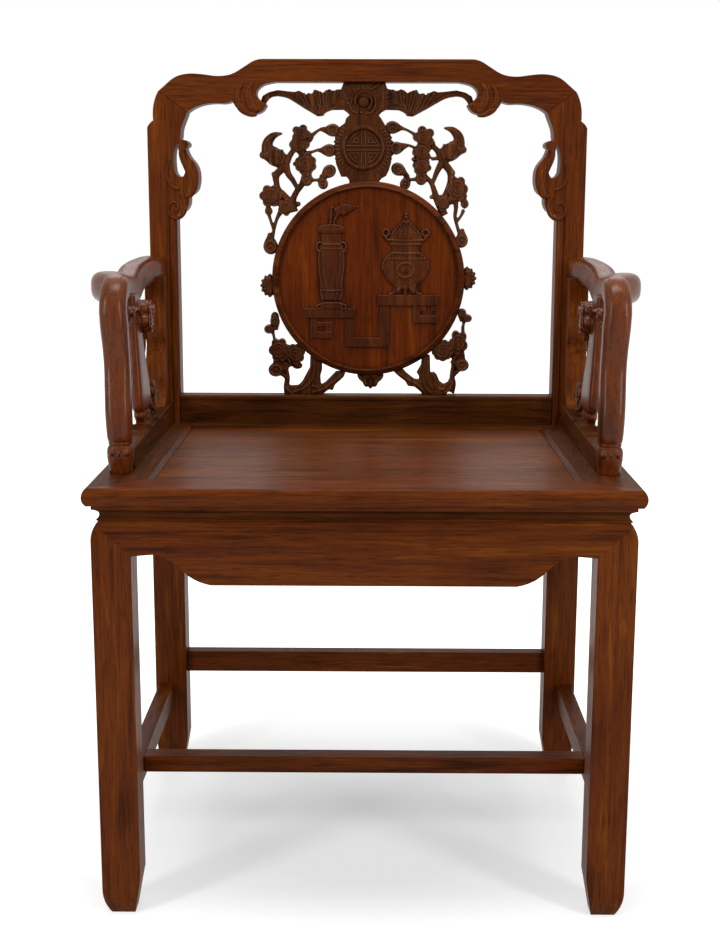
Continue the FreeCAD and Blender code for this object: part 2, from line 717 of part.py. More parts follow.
# Carving of the splat, in shares of the medallion's radius about its centre
LEFT_SPRAY_SHARES = {
    "stems": [
        [(-0.78, 1.26), (-0.86, 1.15), (-0.96, 1.06), (-0.93, 0.96), (-0.86, 0.82), (-0.73, 0.66)],
        [(-0.86, 1.15), (-0.80, 1.05), (-0.73, 0.96)],
        [(-0.61, 1.06), (-0.71, 0.96), (-0.78, 0.86), (-0.77, 0.72)],
        [(-0.78, 1.26), (-0.81, 1.33), (-0.78, 1.40), (-0.70, 1.42)],
        [(-0.78, 1.26), (-0.72, 1.21), (-0.65, 1.19)],
        [(-0.63, 1.47), (-0.52, 1.54), (-0.42, 1.56)],
        [(-0.64, 1.27), (-0.57, 1.31), (-0.49, 1.34), (-0.43, 1.33)],
        [(-0.61, 1.05), (-0.50, 1.03), (-0.43, 1.08)],
        [(-0.50, 1.03), (-0.47, 0.99), (-0.46, 0.90)],
        [(-0.98, 0.83), (-0.83, 0.76), (-0.72, 0.70)],
        [(-0.97, 0.79), (-0.98, 0.67), (-1.0, 0.57), (-0.99, 0.36)],
        [(-0.82, 0.70), (-0.93, 0.62), (-0.99, 0.50)],
        [(-0.65, 1.19), (-0.64, 1.08), (-0.62, 0.98)],
        [(-0.97, 1.29), (-0.86, 1.27), (-0.78, 1.26)],
    ],
    "blossoms": [(-0.71, 1.52, 0.096), (-0.70, 1.40, 0.096), (-0.65, 1.19, 0.106),
                 (-1.02, 0.84, 0.102)],
    "buds": [(-0.38, 1.54, 0), (-0.43, 1.33, -8), (-0.40, 1.12, 50), (-0.47, 0.97, -80),
             (-1.05, 0.68, 100), (-1.01, 0.33, 85), (-0.65, 0.99, 80)],
    "fruits": [(-0.97, 1.29, 0.10)],
    "leaves": [((-1.05, 1.30), (-1.00, 1.44), (-0.91, 1.49), 0.095),
               ((-0.86, 0.86), (-0.80, 0.84), (-0.76, 0.78), 0.07)],
}
LEFT_ROOT_SHARES = {
    "stems": [
        [(-0.88, -0.38), (-0.99, -0.41), (-0.97, -0.57), (-0.94, -0.70)],
        [(-0.94, -0.91), (-0.85, -1.0), (-0.83, -1.13)],
        [(-0.94, -0.72), (-0.96, -0.84), (-0.95, -0.94)],
        [(-0.74, -0.80), (-0.66, -0.85), (-0.58, -0.90)],
        [(-0.94, -0.74), (-0.84, -0.78), (-0.74, -0.80)],
    ],
    "blossoms": [(-0.94, -0.72, 0.096), (-0.74, -0.80, 0.102), (-0.95, -0.94, 0.081)],
    "buds": [(-0.97, -0.41, 85), (-1.03, -0.52, 70)],
    "fruits": [],
    "leaves": [],
}
LEFT_TRUNK_SHARES = [
    (-0.62, -0.74), (-0.48, -0.82), (-0.50, -1.00), (-0.49, -1.11), (-0.38, -1.06),
    (-0.30, -0.96), (-0.21, -0.96), (-0.36, -1.14), (-0.48, -1.2076), (-0.82, -1.2076),
    (-0.86, -1.11), (-0.83, -1.00), (-0.79, -1.03), (-0.77, -1.12), (-0.70, -1.11),
    (-0.61, -1.00),
]
RIGHT_SPRAY_SHARES = {
    "stems": [
        [(0.29, 1.58), (0.36, 1.56), (0.45, 1.52), (0.52, 1.47)],
        [(0.38, 1.35), (0.43, 1.38), (0.49, 1.35), (0.54, 1.30)],
        [(0.36, 1.02), (0.46, 1.02), (0.56, 1.05)],
        [(0.62, 1.42), (0.69, 1.34), (0.76, 1.24), (0.84, 1.13), (0.89, 1.02), (0.93, 0.92)],
        [(0.77, 1.19), (0.73, 1.11), (0.69, 1.01)],
        [(0.58, 1.07), (0.69, 0.96), (0.73, 0.81), (0.80, 0.62)],
        [(0.58, 1.22), (0.65, 1.22), (0.74, 1.25)],
        [(0.88, 0.81), (0.92, 0.68), (0.94, 0.38)],
        [(0.93, 0.86), (0.81, 0.76), (0.74, 0.68)],
        [(0.54, 1.24), (0.57, 1.12), (0.59, 1.02)],
        [(0.88, 1.30), (0.80, 1.27), (0.74, 1.25)],
        [(0.93, 0.90), (0.98, 0.83), (1.00, 0.76)],
        [(0.33, 1.11), (0.35, 1.05), (0.40, 0.94)],
    ],
    "blossoms": [(0.57, 1.46, 0.106), (0.54, 1.25, 0.106), (0.93, 0.92, 0.108)],
    "buds": [(0.24, 1.57, 160), (0.33, 1.36, 190), (0.31, 1.14, 100), (0.38, 1.0, 80),
             (0.99, 0.74, 95), (0.97, 0.38, 85), (0.57, 1.04, 60)],
    "fruits": [(0.88, 1.31, 0.10)],
    "leaves": [((0.96, 1.32), (0.94, 1.46), (0.79, 1.54), 0.10),
               ((0.86, 0.84), (0.79, 0.82), (0.76, 0.76), 0.07)],
}
RIGHT_ROOT_SHARES = {
    "stems": [
        [(0.88, -0.32), (0.98, -0.40), (0.99, -0.52), (0.97, -0.64)],
        [(0.97, -0.86), (0.90, -0.95), (0.89, -1.09)],
        [(0.94, -0.66), (0.97, -0.78), (0.96, -0.88)],
        [(0.77, -0.74), (0.70, -0.80), (0.62, -0.88)],
        [(0.94, -0.66), (0.86, -0.71), (0.77, -0.74)],
    ],
    "blossoms": [(0.94, -0.66, 0.10), (0.77, -0.74, 0.104), (0.96, -0.88, 0.09)],
    "buds": [(0.95, -0.36, 110), (1.03, -0.42, 60)],
    "fruits": [],
    "leaves": [],
}
RIGHT_TRUNK_SHARES = [
    (0.52, -0.78), (0.65, -0.74), (0.65, -0.96), (0.69, -1.02), (0.73, -1.11), (0.81, -1.09),
    (0.87, -1.01), (0.92, -1.04), (0.88, -1.13), (0.81, -1.2076), (0.59, -1.2076),
    (0.55, -1.13), (0.41, -1.09), (0.27, -0.97), (0.37, -0.94), (0.54, -1.05),
]
RING_BLOSSOM_SHARES = {"left": (-1.01, -0.07, 0.125), "right": (1.01, 0.01, 0.125)}

# How far the trunks' feet lie below the ring, in shares of its radius
TRUNK_DROP_SHARE = 0.2076

# Relief of the medallion: a vase and a lidded censer on a stepped stand
VASE_SHARES = [
    [(-0.23, 0.56)],
    [(-0.27, 0.50), (-0.28, 0.45)],
    [(-0.235, 0.40), (-0.22, 0.30)],
    [(-0.23, 0.15), (-0.27, -0.03), (-0.285, -0.12), (-0.28, -0.20)],
    [(-0.48, -0.20)],
    [(-0.485, -0.12), (-0.49, -0.03), (-0.51, 0.15), (-0.52, 0.30)],
    [(-0.515, 0.40), (-0.48, 0.45)],
    [(-0.49, 0.50), (-0.52, 0.56)],
]
VASE_FOOT_SHARES = [(-0.54, -0.22), (-0.24, -0.22), (-0.26, -0.30), (-0.52, -0.30)]
VASE_STEM_SHARES = [(-0.395, 0.54), (-0.37, 0.54), (-0.37, 0.735), (-0.395, 0.735)]
VASE_LEAF_SHARES = ((-0.345, 0.62), (-0.25, 0.71), (-0.12, 0.70), 0.13)
CENSER_SHARES = [
    [(0.39, 0.60), (0.55, 0.48), (0.22, 0.48)],
    [(0.19, 0.485), (0.59, 0.485), (0.54, 0.33), (0.24, 0.33)],
    [(0.27, 0.34), (0.52, 0.34), (0.53, 0.25), (0.26, 0.25)],
]
CENSER_BOWL_SHARES = [
    [(0.48, 0.26)],
    [(0.628, 0.12), (0.52, -0.05)],
    [(0.26, -0.05)],
    [(0.152, 0.12), (0.30, 0.26)],
]
CENSER_MIDDLE_SHARE = 0.39
STAND_BAR_SHARES = [
    (-0.65, -0.29, -0.14, -0.40), (-0.62, -0.39, -0.55, -0.60), (-0.56, -0.54, -0.38, -0.61),
    (-0.52, -0.39, -0.40, -0.46), (-0.24, -0.39, -0.15, -0.70), (-0.16, -0.59, 0.22, -0.70),
    (0.12, -0.15, 0.22, -0.60), (0.11, -0.15, 0.72, -0.27), (0.46, -0.26, 0.54, -0.45),
    (0.53, -0.37, 0.71, -0.45), (0.64, -0.26, 0.71, -0.38),
]

# Blossoms and buds: shares of a petal's turn, or of a full turn, and of the reach
PETALS = 5
PETAL_SHARES = [(0, 0.70), (0.27, 0.99), (0.73, 0.99)]
BOSS_SIDES = 6
BOSS_SHARE = 0.30
BUTTON_SIDES = 12
RIM_SIDES = 32
BUD_SHARE = 0.085
BUD_OUTLINE_SHARES = [(0, 1), (0.14, 0.66), (0.36, 0.66), (0.5, 1), (0.64, 0.66),
                      (0.86, 0.66)]

# Half outline of a leaf: shares of its length and of its half width
LEAF_SHARES = [(0.25, 0.76), (0.55, 1.0), (0.82, 0.60)]


def splat_place(level):
    """Function that turns medallion shares into a point, at a depth behind the front.

    What lies lower than the ring follows the gap that the splat's foot spans.
    """
    radius = value("medallion_radius")
    shift = value("medallion_shift")
    centre = value("medallion_z")
    foot_gap = value("splat_foot_gap")

    def place(x, z):
        below = max(-1 - z, 0)
        rise = (z + below) * radius - below / TRUNK_DROP_SHARE * foot_gap
        return FreeCAD.Vector(shift + x * radius, level, centre + rise)

    return place


def slab(thickness):
    """Front level and thickness vector of a board centred in the splat."""
    size = value(thickness)
    return value("splat_y") - size / 2, FreeCAD.Vector(0, size, 0)


def stem(points, depth, start_width, end_width):
    """Angular stem that tapers along points."""
    left = []
    right = []
    for number, point in enumerate(points):
        before = points[max(number - 1, 0)]
        after = points[min(number + 1, len(points) - 1)]
        run = (after - before).normalize()
        out = FreeCAD.Vector(-run.z, 0, run.x)
        width = start_width + (end_width - start_width) * number / (len(points) - 1)
        left.append(point + out * (width / 2))
        right.append(point - out * (width / 2))
    return slab_of(left + right[::-1], depth)


def leaf(points, width, depth):
    """Bent leaf with pointed ends, through its base, its widest place and its tip."""
    base, middle, tip = points
    bend = middle * 2 - (base + tip) * 0.5
    run = (tip - base).normalize()
    out = FreeCAD.Vector(-run.z, 0, run.x) * (width / 2)
    left = []
    right = []
    for along, share in LEAF_SHARES:
        rib = base * (1 - along) ** 2 + bend * (2 * along * (1 - along)) + tip * along ** 2
        left.append(rib + out * share)
        right.append(rib - out * share)
    return slab_of([base] + left + [tip] + right[::-1], depth)


def ring_of(centre, turns):
    """Points about a centre, each from a share of a full turn and a distance."""
    points = []
    for turn, reach in turns:
        angle = turn * 2 * math.pi
        points.append(centre + FreeCAD.Vector(math.cos(angle), 0, math.sin(angle)) * reach)
    return points


def disc(centre, radius, depth, sides=BUTTON_SIDES):
    """Button with equal sides that faces forwards."""
    return slab_of(ring_of(centre, [(side / sides, radius) for side in range(sides)]), depth)


def blossom(centre, radius, depth):
    """Plum blossom of five blunt petals about a raised middle."""
    turns = []
    for petal in range(PETALS):
        for step, reach_share in PETAL_SHARES:
            turns.append(((petal + step) / PETALS, radius * reach_share))
    flower = slab_of(ring_of(centre, turns), depth)
    lift = FreeCAD.Vector(0, value("blossom_boss"), 0)
    return flower.fuse(disc(centre - lift, radius * BOSS_SHARE, depth, BOSS_SIDES))


def bud(centre, angle, half, depth):
    """Pointed bud, half its length to each side along its angle in degrees."""
    turns = [(corner + angle / 360, half * reach) for corner, reach in BUD_OUTLINE_SHARES]
    return slab_of(ring_of(centre, turns), depth)


def clear_of_splat(shape):
    """Carving trimmed to a fine gap round the ring and round the collar."""
    gap = value("carving_gap")
    size = value("ring_thickness")
    level = value("splat_y") - size
    place = splat_place(level)
    ring = Part.makeCylinder(value("medallion_radius") + gap, 2 * size, place(0, 0),
                             FreeCAD.Vector(0, 1, 0))
    return shape.cut([ring, collar_board(2 * size, gap)])


def openwork(shares, unit, flat, raised):
    """Stems, blossoms, buds, fruits and leaves, each as a solid.

    Flat and raised are pairs of a placing function and a thickness vector, the raised
    one for blossoms and fruits. Unit is the length that sizes are shares of.
    """
    place, depth = flat
    high_place, high_depth = raised
    width = value("stem_width")
    shapes = [stem([place(*spot) for spot in line], depth, width, width * 0.8)
              for line in shares["stems"]]
    shapes += [blossom(high_place(x, z), size * unit, high_depth)
               for x, z, size in shares["blossoms"]]
    shapes += [bud(place(x, z), angle, BUD_SHARE * unit, depth)
               for x, z, angle in shares["buds"]]
    shapes += [disc(high_place(x, z), size * unit, high_depth)
               for x, z, size in shares["fruits"]]
    shapes += [leaf([place(*spot) for spot in line[:3]], line[3] * unit, depth)
               for line in shares["leaves"]]
    return shapes


def spray(shares, trunk=()):
    """Openwork branch beside the ring, in one piece, with a trunk where it has one."""
    level, depth = slab("branch_thickness")
    place = splat_place(level)
    thick_level, thick = slab("blossom_thickness")
    shapes = openwork(shares, value("medallion_radius"), (place, depth),
                      (splat_place(thick_level), thick))
    if trunk:
        spots = [place(*spot) for spot in trunk]
        shapes.append(slab_of(spots, depth))
    return clear_of_splat(joined(shapes))


def ring_blossom(side):
    """Blossom that peeps out behind the ring on one side."""
    x, z, size = RING_BLOSSOM_SHARES[side]
    level, depth = slab("branch_thickness")
    flower = blossom(splat_place(level)(x, z), size * value("medallion_radius"), depth)
    return clear_of_splat(flower)


def collar_board(thickness, margin):
    """Outline of the collar as a board; a margin makes it larger all round."""
    radius = value("collar_radius")
    grow = (radius + margin) / radius
    height = value("collar_height")
    foot = value("medallion_z + medallion_radius")
    shift = value("collar_shift")
    level = value("splat_y") - thickness / 2
    half = slab_of([FreeCAD.Vector(shift + x * radius * grow, level, foot + z * height)
                    for x, z in COLLAR_HALF_SHARES], FreeCAD.Vector(0, thickness, 0))
    other = half.mirror(FreeCAD.Vector(shift, 0, 0), FreeCAD.Vector(1, 0, 0))
    return joined([half, other])


def bar(place, spot, depth):
    """Raised straight bar between two opposite corners in flat numbers."""
    x1, z1, x2, z2 = spot
    return slab_of([place(x1, z1), place(x2, z1), place(x2, z2), place(x1, z2)], depth)


def fret_bars(half, width):
    """Bars of the roundel's key pattern, as boxes about its centre in millimetres."""
    gap = width * FRET_GAP_SHARE
    boxes = [(-half, gap / 2, half, gap / 2 + width), (-half, -gap / 2 - width, half, -gap / 2)]
    for up in (1, -1):
        boxes.append((-width / 2, up * gap, width / 2, up * half))
        for out in (1, -1):
            x_in, x_out, z_low, z_high = [
                sign * half * share for sign, share in zip((out, out, up, up), FRET_SHARES)]
            boxes.append((x_in, z_high - up * width, x_out, z_high))
            boxes.append((x_out - out * width, z_low, x_out, z_high))
            boxes.append((x_in + out * width, z_low, x_out, z_low + up * width))
    return boxes


def fret_collar():
    """Flower-edged collar with a rimmed roundel of key fret, standing on the ring."""
    thickness = value("collar_thickness")
    board = collar_board(thickness, 0)
    radius = value("roundel_radius")
    rim = value("roundel_rim")
    height = value("roundel_height")
    front = value("splat_y") - thickness / 2
    middle = FreeCAD.Vector(value("collar_shift"), front - height,
                            value("medallion_z + medallion_radius")
                            + ROUNDEL_SHARE * value("collar_height"))
    depth = FreeCAD.Vector(0, 2 * height, 0)
    frame = disc(middle, radius, depth, RIM_SIDES)
    frame = frame.cut(disc(middle, radius - rim, depth, RIM_SIDES))
    low = middle + FreeCAD.Vector(0, height / 3, 0)
    inner = disc(low, radius - rim / 2, depth, RIM_SIDES)

    def place(x, z):
        return low + FreeCAD.Vector(x, 0, z)

    bars = [bar(place, spot, depth) for spot in fret_bars(radius, value("fret_bar"))]
    fret = joined(bars).common(inner)
    ring = Part.makeCylinder(value("medallion_radius + carving_gap"), 2 * thickness,
                             splat_place(front - thickness / 2)(0, 0), FreeCAD.Vector(0, 1, 0))
    return finish(carved("collar_carving", joined([board.cut(ring), frame, fret])), "fret_collar")


def bat_carving(crest):
    """Bat with scalloped wings under the crest; its wing tips run on to the crest's lobes."""
    span = value("back_half_width") * BAT_SPAN_SHARE
    height = value("bat_height")
    foot = value("medallion_z + medallion_radius + collar_height")
    level, depth = slab("bat_thickness")
    half = plate(BAT_HALF_SHARES,
                 lambda x, z: FreeCAD.Vector(x * span, level, foot + z * height), depth)
    whole = joined([half, mirrored(half)])
    bump = value("blossom_boss")
    head = FreeCAD.Vector(0, level - bump, foot + height * 0.62)
    button = disc(head, height * 0.24, FreeCAD.Vector(0, 2 * bump, 0))
    shape = joined([whole, button]).cut(crest.Shape)
    return finish(carved("bat_board", shape), "bat_carving")


def lotus_drop():
    """Small lobed pendant under the ring."""
    height = value("drop_height")
    foot = value("medallion_z - medallion_radius") - height
    level, depth = slab("collar_thickness")
    shift = value("drop_shift")
    half = slab_of([FreeCAD.Vector(shift + x * height, level, foot + z * height)
                    for x, z in DROP_HALF_SHARES], depth)
    other = half.mirror(FreeCAD.Vector(shift, 0, 0), FreeCAD.Vector(1, 0, 0))
    return finish(carved("drop_board", clear_of_splat(joined([half, other]))), "lotus_drop")


def medallion_panel():
    """Round panel held in the ring, with a vase and a censer in low relief."""
    thickness = value("medallion_panel_thickness")
    level, depth = slab("medallion_panel_thickness")
    place = splat_place(level)
    board = Part.makeCylinder(value("ring_inner + ring_rebate - carving_gap"), depth.Length,
                              place(0, 0), depth)
    height = value("relief_height")
    relief_place = splat_place(level - height)
    out = FreeCAD.Vector(0, height + thickness / 2, 0)
    radius = value("medallion_radius")

    def shape_of(spots):
        return slab_of([relief_place(*spot) for spot in spots], out)

    x = CENSER_MIDDLE_SHARE
    relief = [plate(VASE_SHARES, relief_place, out), shape_of(VASE_FOOT_SHARES),
              shape_of(VASE_STEM_SHARES)]
    relief.append(leaf([relief_place(*spot) for spot in VASE_LEAF_SHARES[:3]],
                       VASE_LEAF_SHARES[3] * radius, out))
    relief += [shape_of(spots) for spots in CENSER_SHARES]
    relief.append(disc(relief_place(x, 0.64), radius * 0.028, out))
    relief += [disc(relief_place(x + side * 0.23, 0.479), radius * 0.05, out)
               for side in SIDES.values()]
    relief.append(plate(CENSER_BOWL_SHARES, relief_place, out))
    boss = FreeCAD.Vector(0, height / 4, 0)
    relief.append(disc(relief_place(x, 0.065) - boss, radius * 0.09, out + boss))
    relief += [bar(relief_place, (x + foot - 0.03, 0, x + foot + 0.03, -0.17), out)
               for foot in (-0.09, 0, 0.09)]
    relief += [bar(relief_place, spot, out) for spot in STAND_BAR_SHARES]
    return finish(carved("medallion_relief", joined([board] + relief)), "medallion_panel")


def splat(crest):
    """Carved splat: ring, panel, collar, bat, drop and the flowering branches round it."""
    medallion_ring()
    medallion_panel()
    fret_collar()
    bat_carving(crest)
    lotus_drop()
    sprays = {
        "left_plum_branch": spray(LEFT_SPRAY_SHARES),
        "right_plum_branch": spray(RIGHT_SPRAY_SHARES),
        "left_plum_root": spray(LEFT_ROOT_SHARES, LEFT_TRUNK_SHARES),
        "right_plum_root": spray(RIGHT_ROOT_SHARES, RIGHT_TRUNK_SHARES),
        "left_ring_blossom": ring_blossom("left"),
        "right_ring_blossom": ring_blossom("right"),
    }
    for name, shape in sprays.items():
        finish(carved(name + "_carving", shape), name)


# Stations of an arm's front post below its bend: share of the arm's rise, share of its
# span back from the front of the foot, width and depth as shares of the post's
ARM_POST_SHARES = [
    (0.174, 0.036, 0.90, 0.90),
    (0.240, 0.034, 0.95, 1.00),
    (0.338, 0.036, 0.98, 1.07),
    (0.460, 0.046, 0.975, 1.00),
    (0.580, 0.056, 0.97, 0.90),
    (0.700, 0.050, 0.98, 0.93),
    (0.800, 0.043, 1.02, 1.00),
]
ARM_FOOT_SHARES = [
    (0, 0.036, 0.80, 0.86),
    (0.075, 0.036, 0.95, 1.0),
    (0.174, 0.036, 0.86, 0.86),
]

# Flat steps of the quarter turn between an arm's front post and its rail
BEND_STEPS = 6
QUARTER_TURN = 90

# Stations of an arm rail: share of the span back, share of the bow outwards, share of
# the dip upwards and width as a share of the rail's
ARM_RAIL_SHARES = [
    (0.114, 0, 0, 0.88),
    (0.203, 0.536, 0.08, 1.06),
    (0.290, 0.786, 0.02, 1.12),
    (0.370, 0.857, -0.08, 1.18),
    (0.450, 0.868, -0.33, 1.22),
    (0.538, 0.875, -0.62, 1.22),
    (0.677, 0.786, -1.0, 1.12),
    (0.816, 0.50, -0.30, 1.09),
    (0.928, 0.286, 0.46, 1.12),
    (1.0, 0.214, 0.54, 1.12),
]

# Outlines in the plane of an arm: share of the span back, share of the arm's rise
SILL_SHARES = [
    [(0.060, 0)],
    [(0.060, 0.121)],
    [(0.300, 0.129)],
    [(0.310, 0.142), (0.320, 0.129)],
    [(0.405, 0.132)],
    [(0.425, 0.155), (0.445, 0.134)],
    [(0.580, 0.136)],
    [(0.592, 0.156), (0.606, 0.138)],
    [(0.845, 0.145)],
    [(1.0, 0.158)],
    [(1.0, 0)],
]
STILE_SHARES = [
    [(1.0, 1.10)],
    [(0.914, 1.10)],
    [(0.914, 0.965)],
    [(0.912, 0.85), (0.900, 0.75), (0.902, 0.64), (0.928, 0.546)],
    [(0.905, 0.46), (0.900, 0.362), (0.905, 0.26), (0.893, 0.19)],
    [(0.878, 0.164), (0.848, 0.151)],
    [(0.848, 0.14525)],
    [(1.0, 0.158)],
]

# Half of the bottle: shares of its half width and of the arm's rise
BOTTLE_HALF_SHARES = [
    [(0.40, 0.120)],
    [(0.38, 0.165)],
    [(0.42, 0.185), (0.60, 0.193)],
    [(0.70, 0.213), (0.60, 0.232)],
    [(0.90, 0.245), (1.0, 0.285), (0.98, 0.36), (0.84, 0.47), (0.64, 0.60), (0.56, 0.70),
     (0.55, 0.82)],
    [(0.57, 0.93)],
    [(0, 0.93)],
    [(0, 0.120)],
]
BOTTLE_SHARE = 0.482
BOTTLE_LEAN_SHARE = 0.08

# Flowering twig across the bottle's neck and small sprig behind its foot, in shares of
# the span back and of the arm's rise; sizes are shares of the rise
TWIG_SHARES = {
    "stems": [[(0.50, 0.78), (0.58, 0.835), (0.68, 0.825), (0.75, 0.81)],
              [(0.50, 0.78), (0.43, 0.84), (0.34, 0.85)],
              [(0.52, 0.76), (0.56, 0.71), (0.58, 0.64)]],
    "blossoms": [(0.49, 0.775, 0.078)],
    "buds": [(0.765, 0.80, 130), (0.335, 0.84, 40)],
    "fruits": [],
    "leaves": [((0.54, 0.80), (0.62, 0.815), (0.71, 0.775), 0.12),
               ((0.55, 0.73), (0.595, 0.62), (0.600, 0.50), 0.055),
               ((0.40, 0.845), (0.37, 0.80), (0.35, 0.74), 0.08)],
}
SPRIG_SHARES = {
    "stems": [[(0.71, 0.12), (0.705, 0.20), (0.70, 0.30)],
              [(0.705, 0.20), (0.75, 0.23), (0.79, 0.24)],
              [(0.705, 0.18), (0.66, 0.20), (0.635, 0.23)]],
    "blossoms": [(0.70, 0.30, 0.06)],
    "buds": [(0.795, 0.25, 20), (0.63, 0.235, 150)],
    "fruits": [],
    "leaves": [((0.71, 0.14), (0.77, 0.175), (0.83, 0.155), 0.05)],
}


def arm_spot(back, up):
    """Depth and height in the plane of an arm, from shares of its span and rise."""
    front = value("arm_setback - half_y")
    span = value("back_front") - front
    return front + back * span, value("seat_height") + up * value("arm_rise")


def bevelled_section(centre, across, up, width, height, bevel):
    """Corners of a bevelled rectangle, in the plane of two directions."""
    points = []
    for side, rise, side_in, rise_in in ((1, -1, 0, -1), (1, 1, 1, 0), (-1, 1, 0, 1),
                                         (-1, -1, -1, 0)):
        corner = across * side + up * rise
        hub = centre + across * (side * (width / 2 - bevel)) + up * (rise * (height / 2 - bevel))
        first = (across * side_in + up * rise_in) * bevel
        points += [hub + first, hub + corner * bevel - first]
    return points


def refined(stations):
    """Stations with one more between each two, on a smooth curve through them."""
    dense = []
    last = len(stations) - 1
    for number in range(last):
        four = (stations[max(number - 1, 0)], stations[number], stations[number + 1],
                stations[min(number + 2, last)])
        middle = tuple((9 * (near + next_one) - (before + after)) / 16
                       for before, near, next_one, after in zip(*four))
        dense += [stations[number], middle]
    return dense + [stations[last]]


def flat_face(corners):
    """Flat face between corners."""
    return Part.Face(Part.makePolygon(corners + corners[:1]))


def loft(sections):
    """Solid through sections that all have parallel sides, with flat faces between them."""
    faces = [flat_face(sections[0]), flat_face(sections[-1])]
    for lower, upper in zip(sections, sections[1:]):
        for number, corner in enumerate(lower):
            before = number - 1
            faces.append(flat_face([lower[before], corner, upper[number], upper[before]]))
    solid = Part.Solid(Part.Shell(faces))
    if solid.Volume < 0:
        solid.reverse()
    return solid


def upright_section(station, line):
    """Level section of a front post at a station."""
    up, back, width, depth = station
    return bevelled_section(FreeCAD.Vector(line, *arm_spot(back, up)), FreeCAD.Vector(1, 0, 0),
                            FreeCAD.Vector(0, 1, 0), value("arm_post_width") * width,
                            value("arm_post_depth") * depth, value("arm_post_bevel"))


def rail_sections():
    """Sections of the right arm rail from the front post to the back post."""
    sections = []
    for back, out, up, width in refined(ARM_RAIL_SHARES):
        y, z = arm_spot(back, 1)
        centre = FreeCAD.Vector(value("arm_line") + out * value("arm_bow"), y,
                                z + up * value("arm_dip"))
        sections.append(bevelled_section(centre, FreeCAD.Vector(1, 0, 0), FreeCAD.Vector(0, 0, -1),
                                        value("arm_rail_width") * width,
                                        value("arm_rail_height"), value("arm_rail_bevel")))
    return sections


def front_post_shape():
    """Right front post: curved shaft on a small foot, with a bend back into the rail."""
    line = value("arm_line")
    foot_line = value("arm_foot_line")
    start = ARM_POST_SHARES[0][0]
    shaft = []
    for station in ARM_POST_SHARES:
        drift = (station[0] - start) / (1 - start)
        shaft.append(upright_section(station, foot_line + (line - foot_line) * drift))
    y, z = arm_spot(ARM_RAIL_SHARES[0][0], 1)
    hub = FreeCAD.Vector(line, y, z - value("arm_bend"))
    bend = []
    for step in range(BEND_STEPS, -1, -1):
        turn = FreeCAD.Rotation(FreeCAD.Vector(1, 0, 0), QUARTER_TURN * step / BEND_STEPS)
        bend.append([hub + turn.multVec(corner - hub) for corner in rail_sections()[0]])
    foot = [upright_section(station, foot_line) for station in ARM_FOOT_SHARES]
    y, z = arm_spot(ARM_FOOT_SHARES[0][1], 0)
    tenon = value("arm_tenon")
    corner = FreeCAD.Vector(foot_line - tenon / 2, y - tenon / 2, z - tenon)
    return joined([loft(shaft + bend), loft(foot),
                   Part.makeBox(tenon, tenon, 2 * tenon, corner)])


def in_arm(shares, line, thickness):
    """Board in the plane of the right arm, centred on a line beside the seat."""
    level = value(line) - value(thickness) / 2
    return plate(shares, lambda back, up: FreeCAD.Vector(level, *arm_spot(back, up)),
                 FreeCAD.Vector(value(thickness), 0, 0))


def bottle_shape():
    """Bottle-shaped splat of an arm."""
    half_width = value("bottle_half_width")
    middle = arm_spot(BOTTLE_SHARE, 0)[0]
    level = value("sill_line") - value("bottle_thickness") / 2

    def place(out, up):
        return FreeCAD.Vector(level, middle + out * half_width, arm_spot(0, up)[1])

    half = plate(BOTTLE_HALF_SHARES, place, FreeCAD.Vector(value("bottle_thickness"), 0, 0))
    other = half.mirror(FreeCAD.Vector(0, middle, 0), FreeCAD.Vector(0, 1, 0))
    return joined([half, other])


def sideways(shares, thickness, raised):
    """Openwork of an arm, drawn facing the front and then turned to face sideways."""
    line = value("sill_line")

    def pair(size):
        level = -line - size / 2

        def place(back, up):
            y, z = arm_spot(back, up)
            return FreeCAD.Vector(y, level, z)

        return place, FreeCAD.Vector(0, size, 0)

    twig = joined(openwork(shares, value("arm_rise"), pair(thickness), pair(raised)))
    twig.rotate(FreeCAD.Vector(), FreeCAD.Vector(0, 0, 1), 90)
    return twig


def arm_splat_shape():
    """Bottle and twig in one piece, leaning out to meet the bowed rail."""
    twig = sideways(TWIG_SHARES, value("spray_thickness"),
                    value("bottle_thickness + 2 * spray_relief"))
    whole = joined([bottle_shape(), twig])
    foot = FreeCAD.Vector(value("sill_line"), 0, arm_spot(0, BOTTLE_HALF_SHARES[0][0][1])[1])
    whole.rotate(foot, FreeCAD.Vector(0, 1, 0), math.degrees(math.atan(BOTTLE_LEAN_SHARE)))
    return whole


def under(shape, rail):
    """Larger piece of a shape that a rail leaves, with a fine gap below and inside the rail."""
    gap = value("carving_gap")
    pieces = shape.cut(rail.translated(FreeCAD.Vector(-gap, 0, -gap))).Solids
    return max(pieces, key=lambda piece: piece.Volume)


def arms():
    """Both arms: bowed rail, curved front post, sill, rear stile and carved splat."""
    rail = loft(rail_sections())
    thickness = value("spray_thickness")
    post = front_post_shape()
    behind_post = post.translated(FreeCAD.Vector(0, value("carving_gap"), 0))
    sill = in_arm(SILL_SHARES, "sill_line", "sill_thickness").cut([post, behind_post])
    shapes = {
        "rail": rail,
        "front_post": post,
        "sill": sill,
        "stile": under(in_arm(STILE_SHARES, "arm_line", "stile_thickness"), rail),
        "splat": under(arm_splat_shape(), rail).cut(sill),
        "sprig": sideways(SPRIG_SHARES, thickness, thickness + value("spray_relief")).cut(sill),
    }
    posts = []
    for side in SIDES:
        for part_name, shape in shapes.items():
            name = "%s_arm_%s" % (side, part_name)
            piece = carved(name + "_carving", shape if side == "right" else mirrored(shape))
            finish(piece, name)
            if part_name == "front_post":
                posts.append(piece)
    return posts


